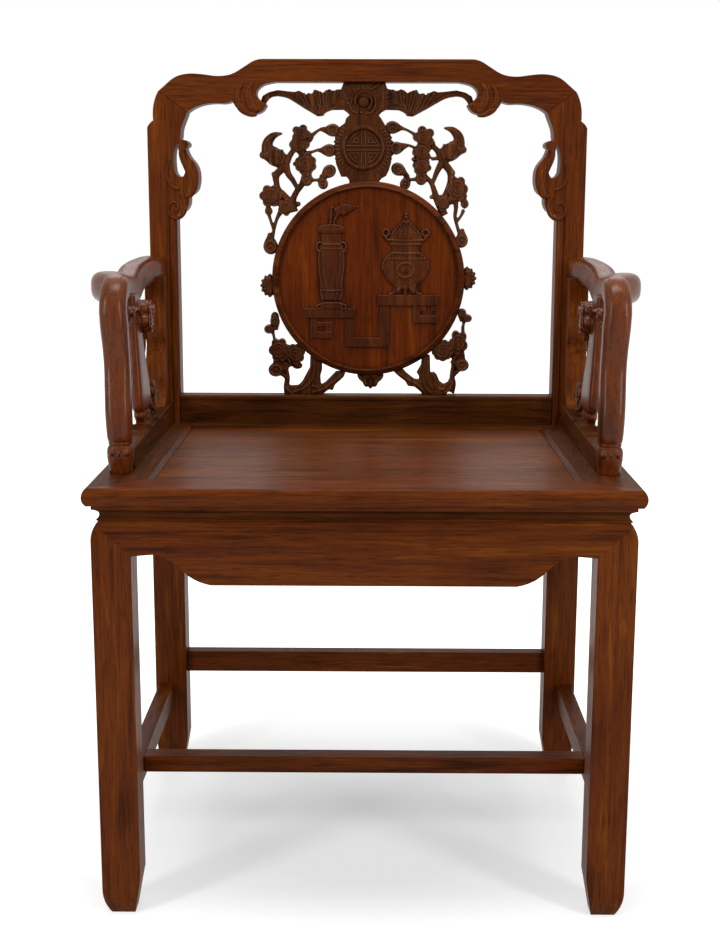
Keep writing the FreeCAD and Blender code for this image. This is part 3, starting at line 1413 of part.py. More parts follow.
def base():
    """Legs, aprons, waist strips and stretchers."""
    aprons = {end: apron(end + "_apron", end, "XZ", "base_x", "leg_width", "base_y")
              for end in ENDS}
    aprons.update({side: apron(side + "_apron", side, "YZ", "base_y", "leg_depth", "base_x")
                   for side in SIDES})
    for end in ENDS:
        waist(end + "_waist", end, "XZ", "base_x", "leg_width", "base_y")
    for side in SIDES:
        waist(side + "_waist", side, "YZ", "base_y", "leg_depth", "base_x")
    rear, sides = stretchers()
    legs = []
    for side in SIDES:
        for end in ENDS:
            entering = [aprons[end], aprons[side], sides[side]]
            legs.append(leg(side, end, entering + ([rear] if end == "rear" else [])))
    return legs


def back():
    """Posts, bottom rail, crest rail and carved splat."""
    crest = crest_rail()
    posts = back_posts(back_bottom_rail())
    splat(crest)
    return posts


def main():
    """Build the chair, check it and write one file for each sub-part."""
    fill_sheet()
    tenons = base() + back() + arms()
    seat(tenons)
    DOC.recompute()
    for item in DOC.Objects:
        if {"Invalid", "Error"} & set(item.State):
            raise RuntimeError("%s could not be built" % item.Label)
    os.makedirs("parts", exist_ok=True)
    for piece in PARTS:
        if piece.Shape.isNull() or not piece.Shape.isValid():
            raise RuntimeError("%s has no sound shape" % piece.Label)
        piece.Shape.exportStep("parts/%s.step" % piece.Label)


main()
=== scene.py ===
"""Carved rosewood armchair with a pierced medallion back, dressed for its photograph.

The scene is in metres, +Z up and -Y towards the front of the chair. Sizes that the
classes hold are millimetres, and mm() turns them into metres.
"""
import logging
import math
from collections.abc import Callable, Iterable, Sequence
from dataclasses import dataclass
from enum import Enum

import bmesh
import bpy
from mathutils import Matrix, Vector


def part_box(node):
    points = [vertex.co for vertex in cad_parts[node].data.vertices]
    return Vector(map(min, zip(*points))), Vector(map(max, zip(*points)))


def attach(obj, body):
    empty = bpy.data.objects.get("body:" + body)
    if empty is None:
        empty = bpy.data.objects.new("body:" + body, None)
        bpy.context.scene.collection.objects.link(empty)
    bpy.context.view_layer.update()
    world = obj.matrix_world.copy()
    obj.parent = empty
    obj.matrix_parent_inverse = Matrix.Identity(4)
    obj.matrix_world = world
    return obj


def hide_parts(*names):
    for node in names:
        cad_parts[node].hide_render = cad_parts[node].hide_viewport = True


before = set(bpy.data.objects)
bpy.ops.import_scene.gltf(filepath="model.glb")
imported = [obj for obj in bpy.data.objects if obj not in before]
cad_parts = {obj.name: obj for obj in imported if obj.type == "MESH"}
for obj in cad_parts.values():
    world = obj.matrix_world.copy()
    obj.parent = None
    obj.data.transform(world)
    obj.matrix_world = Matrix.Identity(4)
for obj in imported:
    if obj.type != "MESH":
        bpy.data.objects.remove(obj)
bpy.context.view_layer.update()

LOG = logging.getLogger("chair")
BODY = "root"

RIGHT, UP = Vector((1, 0, 0)), Vector((0, 0, 1))
FORWARD, BACKWARD = Vector((0, -1, 0)), Vector((0, 1, 0))
MM_IN_METRE = 1000
WHITE = "#ffffff"

Spot = tuple[float, float]
Ring = list[Vector]
# A carved line: its spots, its width at each or one width, and its height above the work
Stroke = tuple[tuple[Spot, ...], float | tuple[float, ...], float]


def mm(length: float) -> float:
    """Millimetres as metres."""
    return length * 0.001


def linear(colour: str) -> tuple[float, float, float, float]:
    """Turn an sRGB hex colour into linear light.

    Args:
        colour: Six hex digits after a hash.

    Returns:
        Red, green, blue and an alpha of one.
    """
    parts = [int(colour[start:start + 2], 16) / 255 for start in (1, 3, 5)]
    curve = [part / 12.92 if part <= 0.04045 else ((part + 0.055) / 1.055) ** 2.4
             for part in parts]
    return curve[0], curve[1], curve[2], 1.0


# Materials


class Grain(Enum):
    """Direction in which the wood of a piece grew."""

    ACROSS = 0
    BACKWARDS = 1
    UPRIGHT = 2


def add_node(tree: bpy.types.NodeTree, kind: str, settings: dict | None = None,
             links: dict | None = None) -> bpy.types.Node:
    """Add a node to a tree.

    Args:
        tree: Tree that takes the node.
        kind: Type name of the node.
        settings: Attributes, values of inputs by their name or number, or under "stops"
            the places and hex colours of a colour ramp.
        links: Output sockets of other nodes, by the name or number of the input.

    Returns:
        The new node.
    """
    node = tree.nodes.new(kind)
    for key, setting in (settings or {}).items():
        if key == "stops":
            elements = node.color_ramp.elements
            while len(elements) < len(setting):
                elements.new(0.5)
            for element, (place, colour) in zip(elements, setting):
                element.position, element.color = place, linear(colour)
        elif isinstance(key, str) and hasattr(node, key):
            setattr(node, key, setting)
        else:
            node.inputs[key].default_value = setting
    for key, socket in (links or {}).items():
        tree.links.new(socket, node.inputs[key])
    return node


@dataclass(frozen=True)
class Rosewood:
    """Oiled and hand-polished rosewood.

    Dark resin bands run with the grain through red-brown wood, fine open pores
    break the polish into short strokes, and the thin polish gives broad pale
    reflections at a low angle. Sizes are millimetres and colours are sRGB.
    """

    name: str
    grain: Grain
    # Sapwood, heartwood and resin of the bands
    pale: str = "#7c430b"
    middle: str = "#632f0c"
    dark: str = "#431f0a"
    band_spacing: float = 15
    cloud_size: float = 90
    # Real pores are about 0.2 wide and 4 long: these are coarser, so that they show
    pore_length: float = 22
    pore_width: float = 0.9
    pore_depth: float = 0.12
    ior: float = 1.5
    roughness: float = 0.42
    pore_roughness: float = 0.16
    # Weight of the wax on top, and reflection of the oiled wood under it
    shine: float = 0.07
    sheen: float = 0.06
    oil: str = "#e0b890"
    coat_roughness: float = 0.22
    # Painted shade in cuts that are no deeper than this, and ridges painted paler for rubbed
    # wear and a painted highlight
    hollow: str | None = None
    hollow_depth: float = 5
    worn: str | None = None
    rubbing: float = 0.45

    def build(self) -> bpy.types.Material:
        """Make the material's nodes.

        Returns:
            The material.
        """
        material = bpy.data.materials.new(self.name)
        material.use_nodes = True
        tree = material.node_tree
        shader = tree.nodes["Principled BSDF"]
        for socket, value in (("IOR", self.ior), ("Specular IOR Level", self.sheen),
                              ("Specular Tint", linear(self.oil)),
                              ("Coat Weight", self.shine),
                              ("Coat Roughness", self.coat_roughness)):
            shader.inputs[socket].default_value = value
        place = add_node(tree, "ShaderNodeTexCoord").outputs["Object"]
        bands = self.drawn_out(tree, place, self.band_spacing, stretch=14, detail=3,
                               wander=1.2)
        streaks = self.drawn_out(tree, place, self.band_spacing / 5, stretch=30, wander=0.4)
        clouds = self.drawn_out(tree, place, self.cloud_size, stretch=2, wander=0.3)
        pores = self.drawn_out(tree, place, self.pore_width,
                               stretch=self.pore_length / self.pore_width)
        wood = add_node(tree, "ShaderNodeValToRGB",
                        {"stops": [(0.30, self.dark), (0.47, self.middle),
                                   (0.58, self.middle), (0.75, self.pale)]},
                        {"Fac": bands}).outputs["Color"]
        for figure, start, shade, end, share in ((streaks, 0.30, "#8f7058", 0.55, 0.5),
                                                 (clouds, 0.30, "#c0a490", 0.70, 0.7),
                                                 (pores, 0.36, "#6a4a3a", 0.46, 0.5)):
            wood = self.laid_over(tree, wood, figure, [(start, shade), (end, WHITE)], share)
        # Painted shade in the hollows, then ridges painted paler for rubbed wear and a painted
        # highlight
        if self.hollow:
            wood = self.shaded(tree, wood)
        if self.worn:
            wood = self.rubbed(tree, wood)
        tree.links.new(wood, shader.inputs["Base Color"])
        gloss = add_node(tree, "ShaderNodeMapRange",
                         {"From Min": 0.30, "From Max": 0.6,
                          "To Min": self.roughness + self.pore_roughness,
                          "To Max": self.roughness},
                         {"Value": pores})
        tree.links.new(gloss.outputs["Result"], shader.inputs["Roughness"])
        bump = add_node(tree, "ShaderNodeBump",
                        {"Strength": 0.25, "Distance": mm(self.pore_depth)},
                        {"Height": pores})
        tree.links.new(bump.outputs["Normal"], shader.inputs["Normal"])
        return material

    def drawn_out(self, tree: bpy.types.NodeTree, place: bpy.types.NodeSocket,
                  spacing: float, stretch: float, detail: float = 2,
                  wander: float = 0) -> bpy.types.NodeSocket:
        """Figure of the wood, drawn out along its grain.

        Args:
            tree: Tree that takes the nodes.
            place: Coordinates in metres.
            spacing: Size across the grain in millimetres.
            stretch: How many times longer it is along the grain.
            detail: Octaves.
            wander: How far the pattern leaves its line.

        Returns:
            The value socket.
        """
        scale = [1 / mm(spacing)] * 3
        scale[self.grain.value] /= stretch
        mapping = add_node(tree, "ShaderNodeMapping", {"Scale": scale}, {"Vector": place})
        node = add_node(tree, "ShaderNodeTexNoise",
                        {"Scale": 1, "Detail": detail, "Distortion": wander},
                        {"Vector": mapping.outputs["Vector"]})
        return node.outputs["Fac"]

    def laid_over(self, tree: bpy.types.NodeTree, base: bpy.types.NodeSocket,
                  figure: bpy.types.NodeSocket, stops: Sequence[tuple[float, str]],
                  share: float) -> bpy.types.NodeSocket:
        """Darker figure over the wood.

        Args:
            tree: Tree that takes the nodes.
            base: Colour of the wood.
            figure: Value of the figure.
            stops: Places along the value and the shade at each.
            share: Strength of the shade.

        Returns:
            The colour socket.
        """
        shade = add_node(tree, "ShaderNodeValToRGB", {"stops": stops}, {"Fac": figure})
        mixed = add_node(tree, "ShaderNodeMix",
                         {"data_type": "RGBA", "blend_type": "MULTIPLY", 0: share},
                         {6: base, 7: shade.outputs["Color"]})
        return mixed.outputs[2]

    def shaded(self, tree: bpy.types.NodeTree,
               base: bpy.types.NodeSocket) -> bpy.types.NodeSocket:
        """Wood with painted shade in its hollows, from an ambient-occlusion mask.

        Args:
            tree: Tree that takes the nodes.
            base: Colour of the wood.

        Returns:
            The colour socket.
        """
        painted_shade_ao = add_node(tree, "ShaderNodeAmbientOcclusion",
                           {"samples": 6, "Distance": mm(self.hollow_depth)})
        return self.laid_over(tree, base, painted_shade_ao.outputs["AO"],
                              [(0.35, self.hollow), (0.85, WHITE)], 0.85)

    def rubbed(self, tree: bpy.types.NodeTree,
               base: bpy.types.NodeSocket) -> bpy.types.NodeSocket:
        """Wood with its ridges paler: wear rubbed by hands and cloths, and a painted highlight.

        Args:
            tree: Tree that takes the nodes.
            base: Colour of the wood.

        Returns:
            The colour socket.
        """
        ridge = add_node(tree, "ShaderNodeNewGeometry").outputs["Pointiness"]
        share = add_node(tree, "ShaderNodeMapRange",
                         {"From Min": 0.52, "From Max": 0.60, "To Min": 0.0,
                          "To Max": self.rubbing},
                         {"Value": ridge})
        mixed = add_node(tree, "ShaderNodeMix", {"data_type": "RGBA", 7: linear(self.worn)},
                         {0: share.outputs["Result"], 6: base})
        return mixed.outputs[2]


class Finishes:
    """Every wood finish of the chair, made once."""

    def __init__(self) -> None:
        """Build each finish, in the grain directions that its pieces have."""
        # Planed and oiled boards of the frame: plain figure with a low sheen
        self.frame = self.in_grains("polished_rosewood", Grain)
        # Rails and posts rubbed by hands: the same wood, glossier
        self.handled = self.in_grains("hand_rubbed_rosewood", Grain, pale="#84430a",
                                      middle="#642d0b", roughness=0.40, shine=0.22,
                                      sheen=0.18)
        # Boards that sit in shade: their colour is darkened as painted shade, and their finish
        # is dull
        self.waxed = self.in_grains("shade_darkened_rosewood", (Grain.ACROSS, Grain.BACKWARDS),
                                    pale="#633710", middle="#4b260b", dark="#2b1306",
                                    roughness=0.5, shine=0.04)
        # Flat-sawn seat board: its bands are wide and even
        self.panel = Rosewood("panel_rosewood", Grain.ACROSS, pale="#7c440d",
                              middle="#60300d", dark="#412008", band_spacing=26,
                              roughness=0.40, shine=0.04).build()
        # Ring turned on the lathe: end grain shows in it, so it is duller
        self.ring = Rosewood("turned_rosewood", Grain.ACROSS, pale="#7a4312",
                             middle="#5c2d12", dark="#35180b", roughness=0.5,
                             shine=0.03).build()
        # Red heartwood scraped flat between the relief, darkened along its edges with painted
        # shade
        self.medallion = Rosewood("medallion_rosewood", Grain.UPRIGHT, pale="#8c4408",
                                  middle="#6a2e08", dark="#441c07", band_spacing=20,
                                  roughness=0.45, shine=0.05, hollow="#4a2410",
                                  hollow_depth=9).build()
        # Low relief: brown, with painted shade in its cuts and pale ridges for rubbed wear and a
        # painted highlight
        self.relief = Rosewood("relief_rosewood", Grain.UPRIGHT, pale="#75421c",
                               middle="#562a12", dark="#35190b", band_spacing=20,
                               hollow="#2c150a", hollow_depth=4, worn="#a0785c").build()
        # Pierced carving: nearly black in its cuts with painted shade, pale on its ridges for
        # rubbed wear and a painted highlight
        self.carving = Rosewood("carved_rosewood", Grain.UPRIGHT, pale="#7a441c",
                                middle="#552d14", dark="#31190a", band_spacing=12,
                                hollow="#2e190c", worn="#9a7048").build()

    @staticmethod
    def in_grains(name: str, grains: Iterable[Grain],
                  **looks: str | float) -> dict[Grain, bpy.types.Material]:
        """Make one finish in several grain directions.

        Args:
            name: Start of the materials' names.
            grains: Directions.
            looks: Fields of the finish.

        Returns:
            The material of each direction.
        """
        return {grain: Rosewood(f"{name}_{grain.name.lower()}", grain, **looks).build()
                for grain in grains}


# Mesh building


def smooth_line(points: Sequence[Vector], steps: int) -> list[Vector]:
    """Smooth curve through points.

    Args:
        points: Points in order.
        steps: Pieces between each two points.

    Returns:
        Points of the curve, the given ones among them.
    """
    line = []
    for number in range(len(points) - 1):
        before = points[max(number - 1, 0)]
        start, end = points[number], points[number + 1]
        after = points[min(number + 2, len(points) - 1)]
        for step in range(steps):
            t = step / steps
            line.append(0.5 * (2 * start + (end - before) * t
                               + (2 * before - 5 * start + 4 * end - after) * t ** 2
                               + (3 * start - before - 3 * end + after) * t ** 3))
    return line + [points[-1].copy()]


def flat_outline(stretches: Iterable[Sequence[Spot]], steps: int = 5) -> list[Spot]:
    """Closed outline made of straight and curved stretches.

    Args:
        stretches: Each goes on from the end of the one before; one of more than one
            spot is a smooth curve.
        steps: Pieces between each two spots of a curve.

    Returns:
        Corners of the outline.
    """
    stretches = list(stretches)
    last = stretches[-1][-1]
    corners: list[Spot] = []
    for stretch in stretches:
        spots = [Vector(spot) for spot in [last, *stretch]]
        line = smooth_line(spots, steps) if len(spots) > 2 else spots
        corners += [(point.x, point.y) for point in line[1:]]
        last = stretch[-1]
    return corners


def circle(sides: int) -> list[Spot]:
    """Cosine and sine at even steps round a circle."""
    turns = [2 * math.pi * side / sides for side in range(sides)]
    return [(math.cos(turn), math.sin(turn)) for turn in turns]


def rounded_ring(centre: Vector, across: Vector, up: Vector, half_width: float,
                 half_height: float, power: float = 2, sides: int = 32) -> Ring:
    """Ring between an ellipse and a rectangle.

    Args:
        centre: Middle of the ring.
        across: Unit direction of its width.
        up: Unit direction of its height.
        half_width: Half of its width in metres.
        half_height: Half of its height in metres.
        power: Two for an ellipse, more for squarer corners.
        sides: Number of points.

    Returns:
        Points of the ring.
    """
    ring = []
    for cos, sin in circle(sides):
        reach = (abs(cos) ** power + abs(sin) ** power) ** (-1 / power)
        ring.append(centre + across * (half_width * reach * cos)
                    + up * (half_height * reach * sin))
    return ring


class Form:
    """Closed shapes gathered into one mesh."""

    def __init__(self) -> None:
        """Start with no points."""
        self.points: list[Vector] = []
        self.faces: list[list[int]] = []

    def skin(self, rings: Sequence[Ring], closed: bool = False) -> None:
        """Add a shape through rings that have the same number of points.

        Args:
            rings: Rings in order.
            closed: Whether the last ring joins the first, else both ends are capped.
        """
        start = len(self.points)
        count = len(rings[0])
        for ring in rings:
            self.points += ring
        last = len(rings) if closed else len(rings) - 1
        for row in range(last):
            low = start + row * count
            high = start + (row + 1) % len(rings) * count
            for side in range(count):
                other = (side + 1) % count
                self.faces.append([low + side, low + other, high + other, high + side])
        if not closed:
            self.faces.append([start + side for side in range(count)][::-1])
            self.faces.append([start + (len(rings) - 1) * count + side
                               for side in range(count)])

    def mesh(self, name: str) -> bpy.types.Mesh:
        """Mesh of all the shapes, with faces turned outwards.

        Args:
            name: Name of the mesh.

        Returns:
            The mesh.
        """
        mesh = bpy.data.meshes.new(name)
        mesh.from_pydata([tuple(point) for point in self.points], [], self.faces)
        shell = bmesh.new()
        shell.from_mesh(mesh)
        bmesh.ops.recalc_face_normals(shell, faces=shell.faces)
        shell.to_mesh(mesh)
        shell.free()
        return mesh


@dataclass
class Board:
    """Plane in which a carver draws: millimetres right, up and out of the front."""

    middle: Vector
    right: Vector
    up: Vector
    front: Vector

    def at(self, right: float, up: float, out: float = 0) -> Vector:
        """Point in the scene."""
        return self.middle + (self.right * right + self.up * up + self.front * out) * mm(1)


def upright_board(middle: Vector) -> Board:
    """Board that faces the front of the chair."""
    return Board(middle, RIGHT, UP, FORWARD)


class Carving(Form):
    """Carved shapes on a board, each a closed form that sinks into its neighbours."""

    def __init__(self, board: Board) -> None:
        """Start an empty carving.

        Args:
            board: Plane to carve in.
        """
        super().__init__()
        self.board = board

    def stem(self, line: Sequence[Spot], widths: float | Sequence[float], low: float,
             high: float, steps: int = 4) -> None:
        """Round twig along a smooth line.

        Args:
            line: Spots that it goes through.
            widths: Width at each spot, or one for all.
            low: Level of its back.
            high: Level of its front.
            steps: Rings between each two spots.
        """
        spots = smooth_line([Vector(spot) for spot in line], steps)
        wide = widths if isinstance(widths, Sequence) else [widths] * len(line)
        wides = smooth_line([Vector((width, 0)) for width in wide], steps)
        rings = []
        for number, spot in enumerate(spots):
            run = spots[min(number + 1, len(spots) - 1)] - spots[max(number - 1, 0)]
            side = Vector((-run.y, run.x)).normalized()
            across = self.board.right * side.x + self.board.up * side.y
            rings.append(rounded_ring(self.board.at(spot.x, spot.y, (low + high) / 2), across,
                                      self.board.front, mm(wides[number].x / 2),
                                      mm((high - low) / 2), 2.4, 12))
        self.skin(rings)

    def dome(self, right: float, up: float, half_width: float, half_height: float,
             low: float, high: float, turn: float = 0, power: float = 2) -> None:
        """Egg-shaped swelling.

        Args:
            right: Place of its middle.
            up: Place of its middle.
            half_width: Reach along its turned width.
            half_height: Reach along its turned height.
            low: Level of its back.
            high: Level of its front.
            turn: Degrees that it is turned in the plane.
            power: Two for an egg, more for a flatter top with steeper sides.
        """
        angle = math.radians(turn)
        cos, sin = math.cos(angle), math.sin(angle)
        across = self.board.right * cos + self.board.up * sin
        upward = self.board.up * cos - self.board.right * sin
        rings = []
        steps = 8
        for step in range(steps + 1):
            lift = math.sin(math.pi * (step / steps - 0.5))
            share = max((1 - abs(lift) ** power) ** (1 / power), 0.02)
            centre = self.board.at(right, up, (low + high) / 2 + lift * (high - low) / 2)
            rings.append(rounded_ring(centre, across, upward, mm(half_width * share),
                                      mm(half_height * share), 2, 20))
        self.skin(rings)

    def roll(self, right: float, up: float, radii: float | Spot, thickness: float,
             level: float, sides: int = 24) -> None:
        """Raised round or oval rim.

        Args:
            right: Place of its middle.
            up: Place of its middle.
            radii: Radius of its middle line, or its half width and half height.
            thickness: Diameter of the rim itself.
            level: Height of its middle line above the plane.
            sides: Pieces of the round.
        """
        wide, tall = radii if isinstance(radii, tuple) else (radii, radii)
        rings = []
        for cos, sin in circle(sides):
            out = self.board.right * cos + self.board.up * sin
            centre = self.board.at(right + wide * cos, up + tall * sin, level)
            rings.append(rounded_ring(centre, out, self.board.front, mm(thickness / 2),
                                      mm(thickness / 2), 2, 8))
        self.skin(rings, closed=True)

    def leaf(self, base: Spot, middle: Spot, tip: Spot, width: float, low: float,
             high: float, groove: float = 0.35, start: float = 0.15) -> None:
        """Leaf with a grooved rib, through its base, its widest place and its tip.

        Args:
            base: Spot where it starts.
            middle: Spot that it bends through.
            tip: Spot where it ends.
            width: Greatest width.
            low: Level of its back.
            high: Level of its front.
            groove: Depth of the rib's groove as a share of the crown.
            start: Width at the base as a share.
        """
        first, turn, last = Vector(base), Vector(middle), Vector(tip)
        bend = turn * 2 - (first + last) * 0.5
        rings = []
        count = 10
        for number in range(count + 1):
            t = number / count
            spot = first * (1 - t) ** 2 + bend * (2 * t * (1 - t)) + last * t ** 2
            run = ((bend - first) * (1 - t) + (last - bend) * t).normalized()
            side = Vector((-run.y, run.x))
            share = max(math.sin(math.pi * t ** 0.8), start * (1 - t), 0.05)
            half = width / 2 * share
            crown = (high - low) * (0.45 + 0.55 * share)
            ring = []
            for step in range(9):
                out = step / 4 - 1
                lift = crown * (1 - abs(out) ** 2.5) * (1 - groove * math.exp(-(out / 0.3) ** 2))
                ring.append(self.board.at(spot.x + side.x * half * out,
                                          spot.y + side.y * half * out, low + lift))
            for step in range(1, 4):
                out = 1 - step / 2
                ring.append(self.board.at(spot.x + side.x * half * out * 0.9,
                                          spot.y + side.y * half * out * 0.9, low - 0.4))
            rings.append(ring)
        self.skin(rings)

    def turned(self, right: float, profile: Sequence[Spot], low: float, high: float,
               power: float = 3, steps: int = 4) -> None:
        """Half-round relief of an upright vessel.

        Args:
            right: Place of its middle line.
            profile: Heights and half widths from one end to the other.
            low: Level of its back.
            high: Level of its front at the widest place.
            power: Squareness of its section.
            steps: Rings between each two heights.
        """
        spots = smooth_line([Vector(spot) for spot in profile], steps)
        widest = max(spot.y for spot in spots)
        rings = []
        for spot in spots:
            depth = (high - low) * (0.6 + 0.4 * spot.y / widest)
            rings.append(rounded_ring(self.board.at(right, spot.x, low + depth / 2),
                                      self.board.right, self.board.front, mm(spot.y),
                                      mm(depth / 2), power, 24))
        self.skin(rings)

    def slab(self, outline: Sequence[Spot], low: float, high: float, edge: float) -> None:
        """Plate with softened edges, front and back.

        Args:
            outline: Corners in order.
            low: Level of its back.
            high: Level of its front.
            edge: How far the softened edge goes in.
        """
        spots = [Vector(corner) for corner in outline]
        count = len(spots)
        area = sum(spots[n - 1].x * spots[n].y - spots[n].x * spots[n - 1].y
                   for n in range(count))
        inward = 1 if area > 0 else -1

        def ring(inset: float, level: float) -> Ring:
            """Outline drawn in at a level.

            Args:
                inset: How far it is drawn in.
                level: Its level.

            Returns:
                The ring.
            """
            moved = []
            for number, spot in enumerate(spots):
                before = (spot - spots[number - 1]).normalized()
                after = (spots[(number + 1) % count] - spot).normalized()
                run = before + after
                side = Vector((-run.y, run.x)).normalized() * inward
                reach = max(abs(side.dot(Vector((-after.y, after.x)))), 0.5)
                corner = spot + side * (inset / reach)
                moved.append(self.board.at(corner.x, corner.y, level))
            return moved

        self.skin([ring(edge, low), ring(0, low + edge), ring(0, high - edge),
                   ring(edge * 0.3, high - edge * 0.3), ring(edge, high)])

    def blossom(self, right: float, up: float, half_width: float, half_height: float,
                low: float, high: float, petals: int = 5, turn: float = 90) -> None:
        """Cupped blossom: a scalloped cup of petals round a ringed disc.

        Args:
            right: Place of its middle.
            up: Place of its middle.
            half_width: Reach of its petals to the side.
            half_height: Reach of its petals upwards.
            low: Level of its back.
            high: Level of its front.
            petals: Number of petals.
            turn: Degrees of its first petal.
        """
        reach, size = 0.62, 0.30 + 0.22 * math.sin(math.pi / petals)
        for petal in range(petals):
            angle = math.radians(turn + petal * 360 / petals)
            x = right + math.cos(angle) * half_width * reach
            y = up + math.sin(angle) * half_height * reach
            self.dome(x, y, half_width * size, half_height * size, low, high - 1.0, power=3)
            self.roll(x, y, (half_width * size * 0.80, half_height * size * 0.80), 1.5,
                      high - 1.2, 18)
        disc, rim, eye = 0.64, 0.56, 0.30
        self.dome(right, up, half_width * disc, half_height * disc, low, high - 0.2, power=7)
        self.roll(right, up, (half_width * rim, half_height * rim), 1.7, high - 0.3, 24)
        self.roll(right, up, (half_width * eye, half_height * eye), 1.3, high - 0.1, 20)

    def bud(self, right: float, up: float, half: float, angle: float, low: float,
            high: float) -> None:
        """Round bud on a pointed cup, with a folded rim round its tip.

        Args:
            right: Place of its middle.
            up: Place of its middle.
            half: Half of its width.
            angle: Degrees from its pointed cup to its round end.
            low: Level of its back.
            high: Level of its front.
        """
        run = Vector((math.cos(math.radians(angle)), math.sin(math.radians(angle))))
        middle = Vector((right, up))
        self.stem([tuple(middle + run * half * reach) for reach in (-1.75, -1.2, -0.6, 0)],
                  [half * 0.35, half * 0.85, half * 1.6, half * 1.8], low + 1, high - 1.2)
        self.dome(right, up, half * 1.05, half * 0.96, low, high - 0.6, angle, 3)
        self.roll(right, up, half * 0.66, half * 0.28, high - 0.8, 20)
        self.dome(right, up, half * 0.36, half * 0.36, low, high + 0.4)


SMOOTH_ANGLE = 50  # degrees up to which two faces look like one surface
WELD_GAP = 0.02  # millimetres between points of a CAD node that are one
WORN_ANGLE = 35  # degrees from which an edge is sharp enough to wear round


def dressed(node: str) -> str:
    """Name of the piece that stands for a node."""
    return node + "_dressed"


def linked(name: str, data: bpy.types.ID) -> bpy.types.Object:
    """Put an object into the scene.

    Args:
        name: Name of the object.
        data: Its mesh, lamp or camera.

    Returns:
        The object.
    """
    thing = bpy.data.objects.new(name, data)
    bpy.context.scene.collection.objects.link(thing)
    return thing


def placed(name: str, mesh: bpy.types.Mesh, material: bpy.types.Material,
           nodes: Sequence[str] = ()) -> bpy.types.Object:
    """Put a mesh into the scene as a piece of the chair.

    Args:
        name: Name of the piece.
        mesh: Its mesh, in place.
        material: Its finish.
        nodes: CAD nodes that it stands for.

    Returns:
        The piece.
    """
    piece = linked(name, mesh)
    mesh.materials.clear()
    mesh.materials.append(material)
    mesh.polygons.foreach_set("use_smooth", [True] * len(mesh.polygons))
    mesh.set_sharp_from_angle(angle=math.radians(SMOOTH_ANGLE))
    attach(piece, BODY)
    if nodes:
        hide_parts(*nodes)
    LOG.info("%s: %d faces", name, len(mesh.polygons))
    return piece


def softened(piece: bpy.types.Object, edge: float) -> None:
    """Round the sharp edges of a piece, as a scraper and polish leave them.

    Args:
        piece: Piece or CAD node.
        edge: Width of the rounding in millimetres.
    """
    weld = piece.modifiers.new("joined_faces", "WELD")
    weld.merge_threshold = mm(WELD_GAP)
    bevel = piece.modifiers.new("worn_edges", "BEVEL")
    bevel.width = mm(edge)
    bevel.segments = 3
    bevel.limit_method = "ANGLE"
    bevel.angle_limit = math.radians(WORN_ANGLE)
    bevel.use_clamp_overlap = True
    bevel.harden_normals = True
    normals = piece.modifiers.new("even_faces", "WEIGHTED_NORMAL")
    normals.keep_sharp = True


def fused(form: Form, name: str, grit: float, rounds: int = 3,
          drill: Form | None = None) -> bpy.types.Mesh:
    """One skin over shapes that sink into each other, smoothed as carved wood is.

    Args:
        form: The shapes.
        name: Name of the mesh.
        grit: Size of the finest cut that is kept, in millimetres.
        rounds: Passes of smoothing.
        drill: Closed shape whose space is cut away.

    Returns:
        The finished mesh.
    """
    rough = linked(name + "_rough", form.mesh(name + "_rough"))
    remesh = rough.modifiers.new("one_skin", "REMESH")
    remesh.mode = "VOXEL"
    remesh.voxel_size = mm(grit)
    smooth = rough.modifiers.new("sanded", "SMOOTH")
    smooth.factor = 0.5
    smooth.iterations = rounds
    cutter = None
    if drill:
        cutter = linked(name + "_drill", drill.mesh(name + "_drill"))
        trim = rough.modifiers.new("trimmed", "BOOLEAN")
        trim.operation = "DIFFERENCE"
        trim.solver = "EXACT"
        trim.object = cutter
    graph = bpy.context.evaluated_depsgraph_get()
    mesh = bpy.data.meshes.new_from_object(rough.evaluated_get(graph))
    mesh.name = name
    bpy.data.objects.remove(rough)
    if cutter:
        bpy.data.objects.remove(cutter)
    return mesh


def lathe(board: Board, profile: Sequence[Spot], sides: int = 128) -> Form:
    """Form turned about the middle of a board.

    Args:
        board: Plane of the turning.
        profile: Radii and levels from the front to the back, closed on itself.
        sides: Pieces of the round.

    Returns:
        The form.
    """
    form = Form()
    form.skin([[board.at(radius * cos, radius * sin, level) for radius, level in profile]
               for cos, sin in circle(sides)], closed=True)
    return form


# The chair


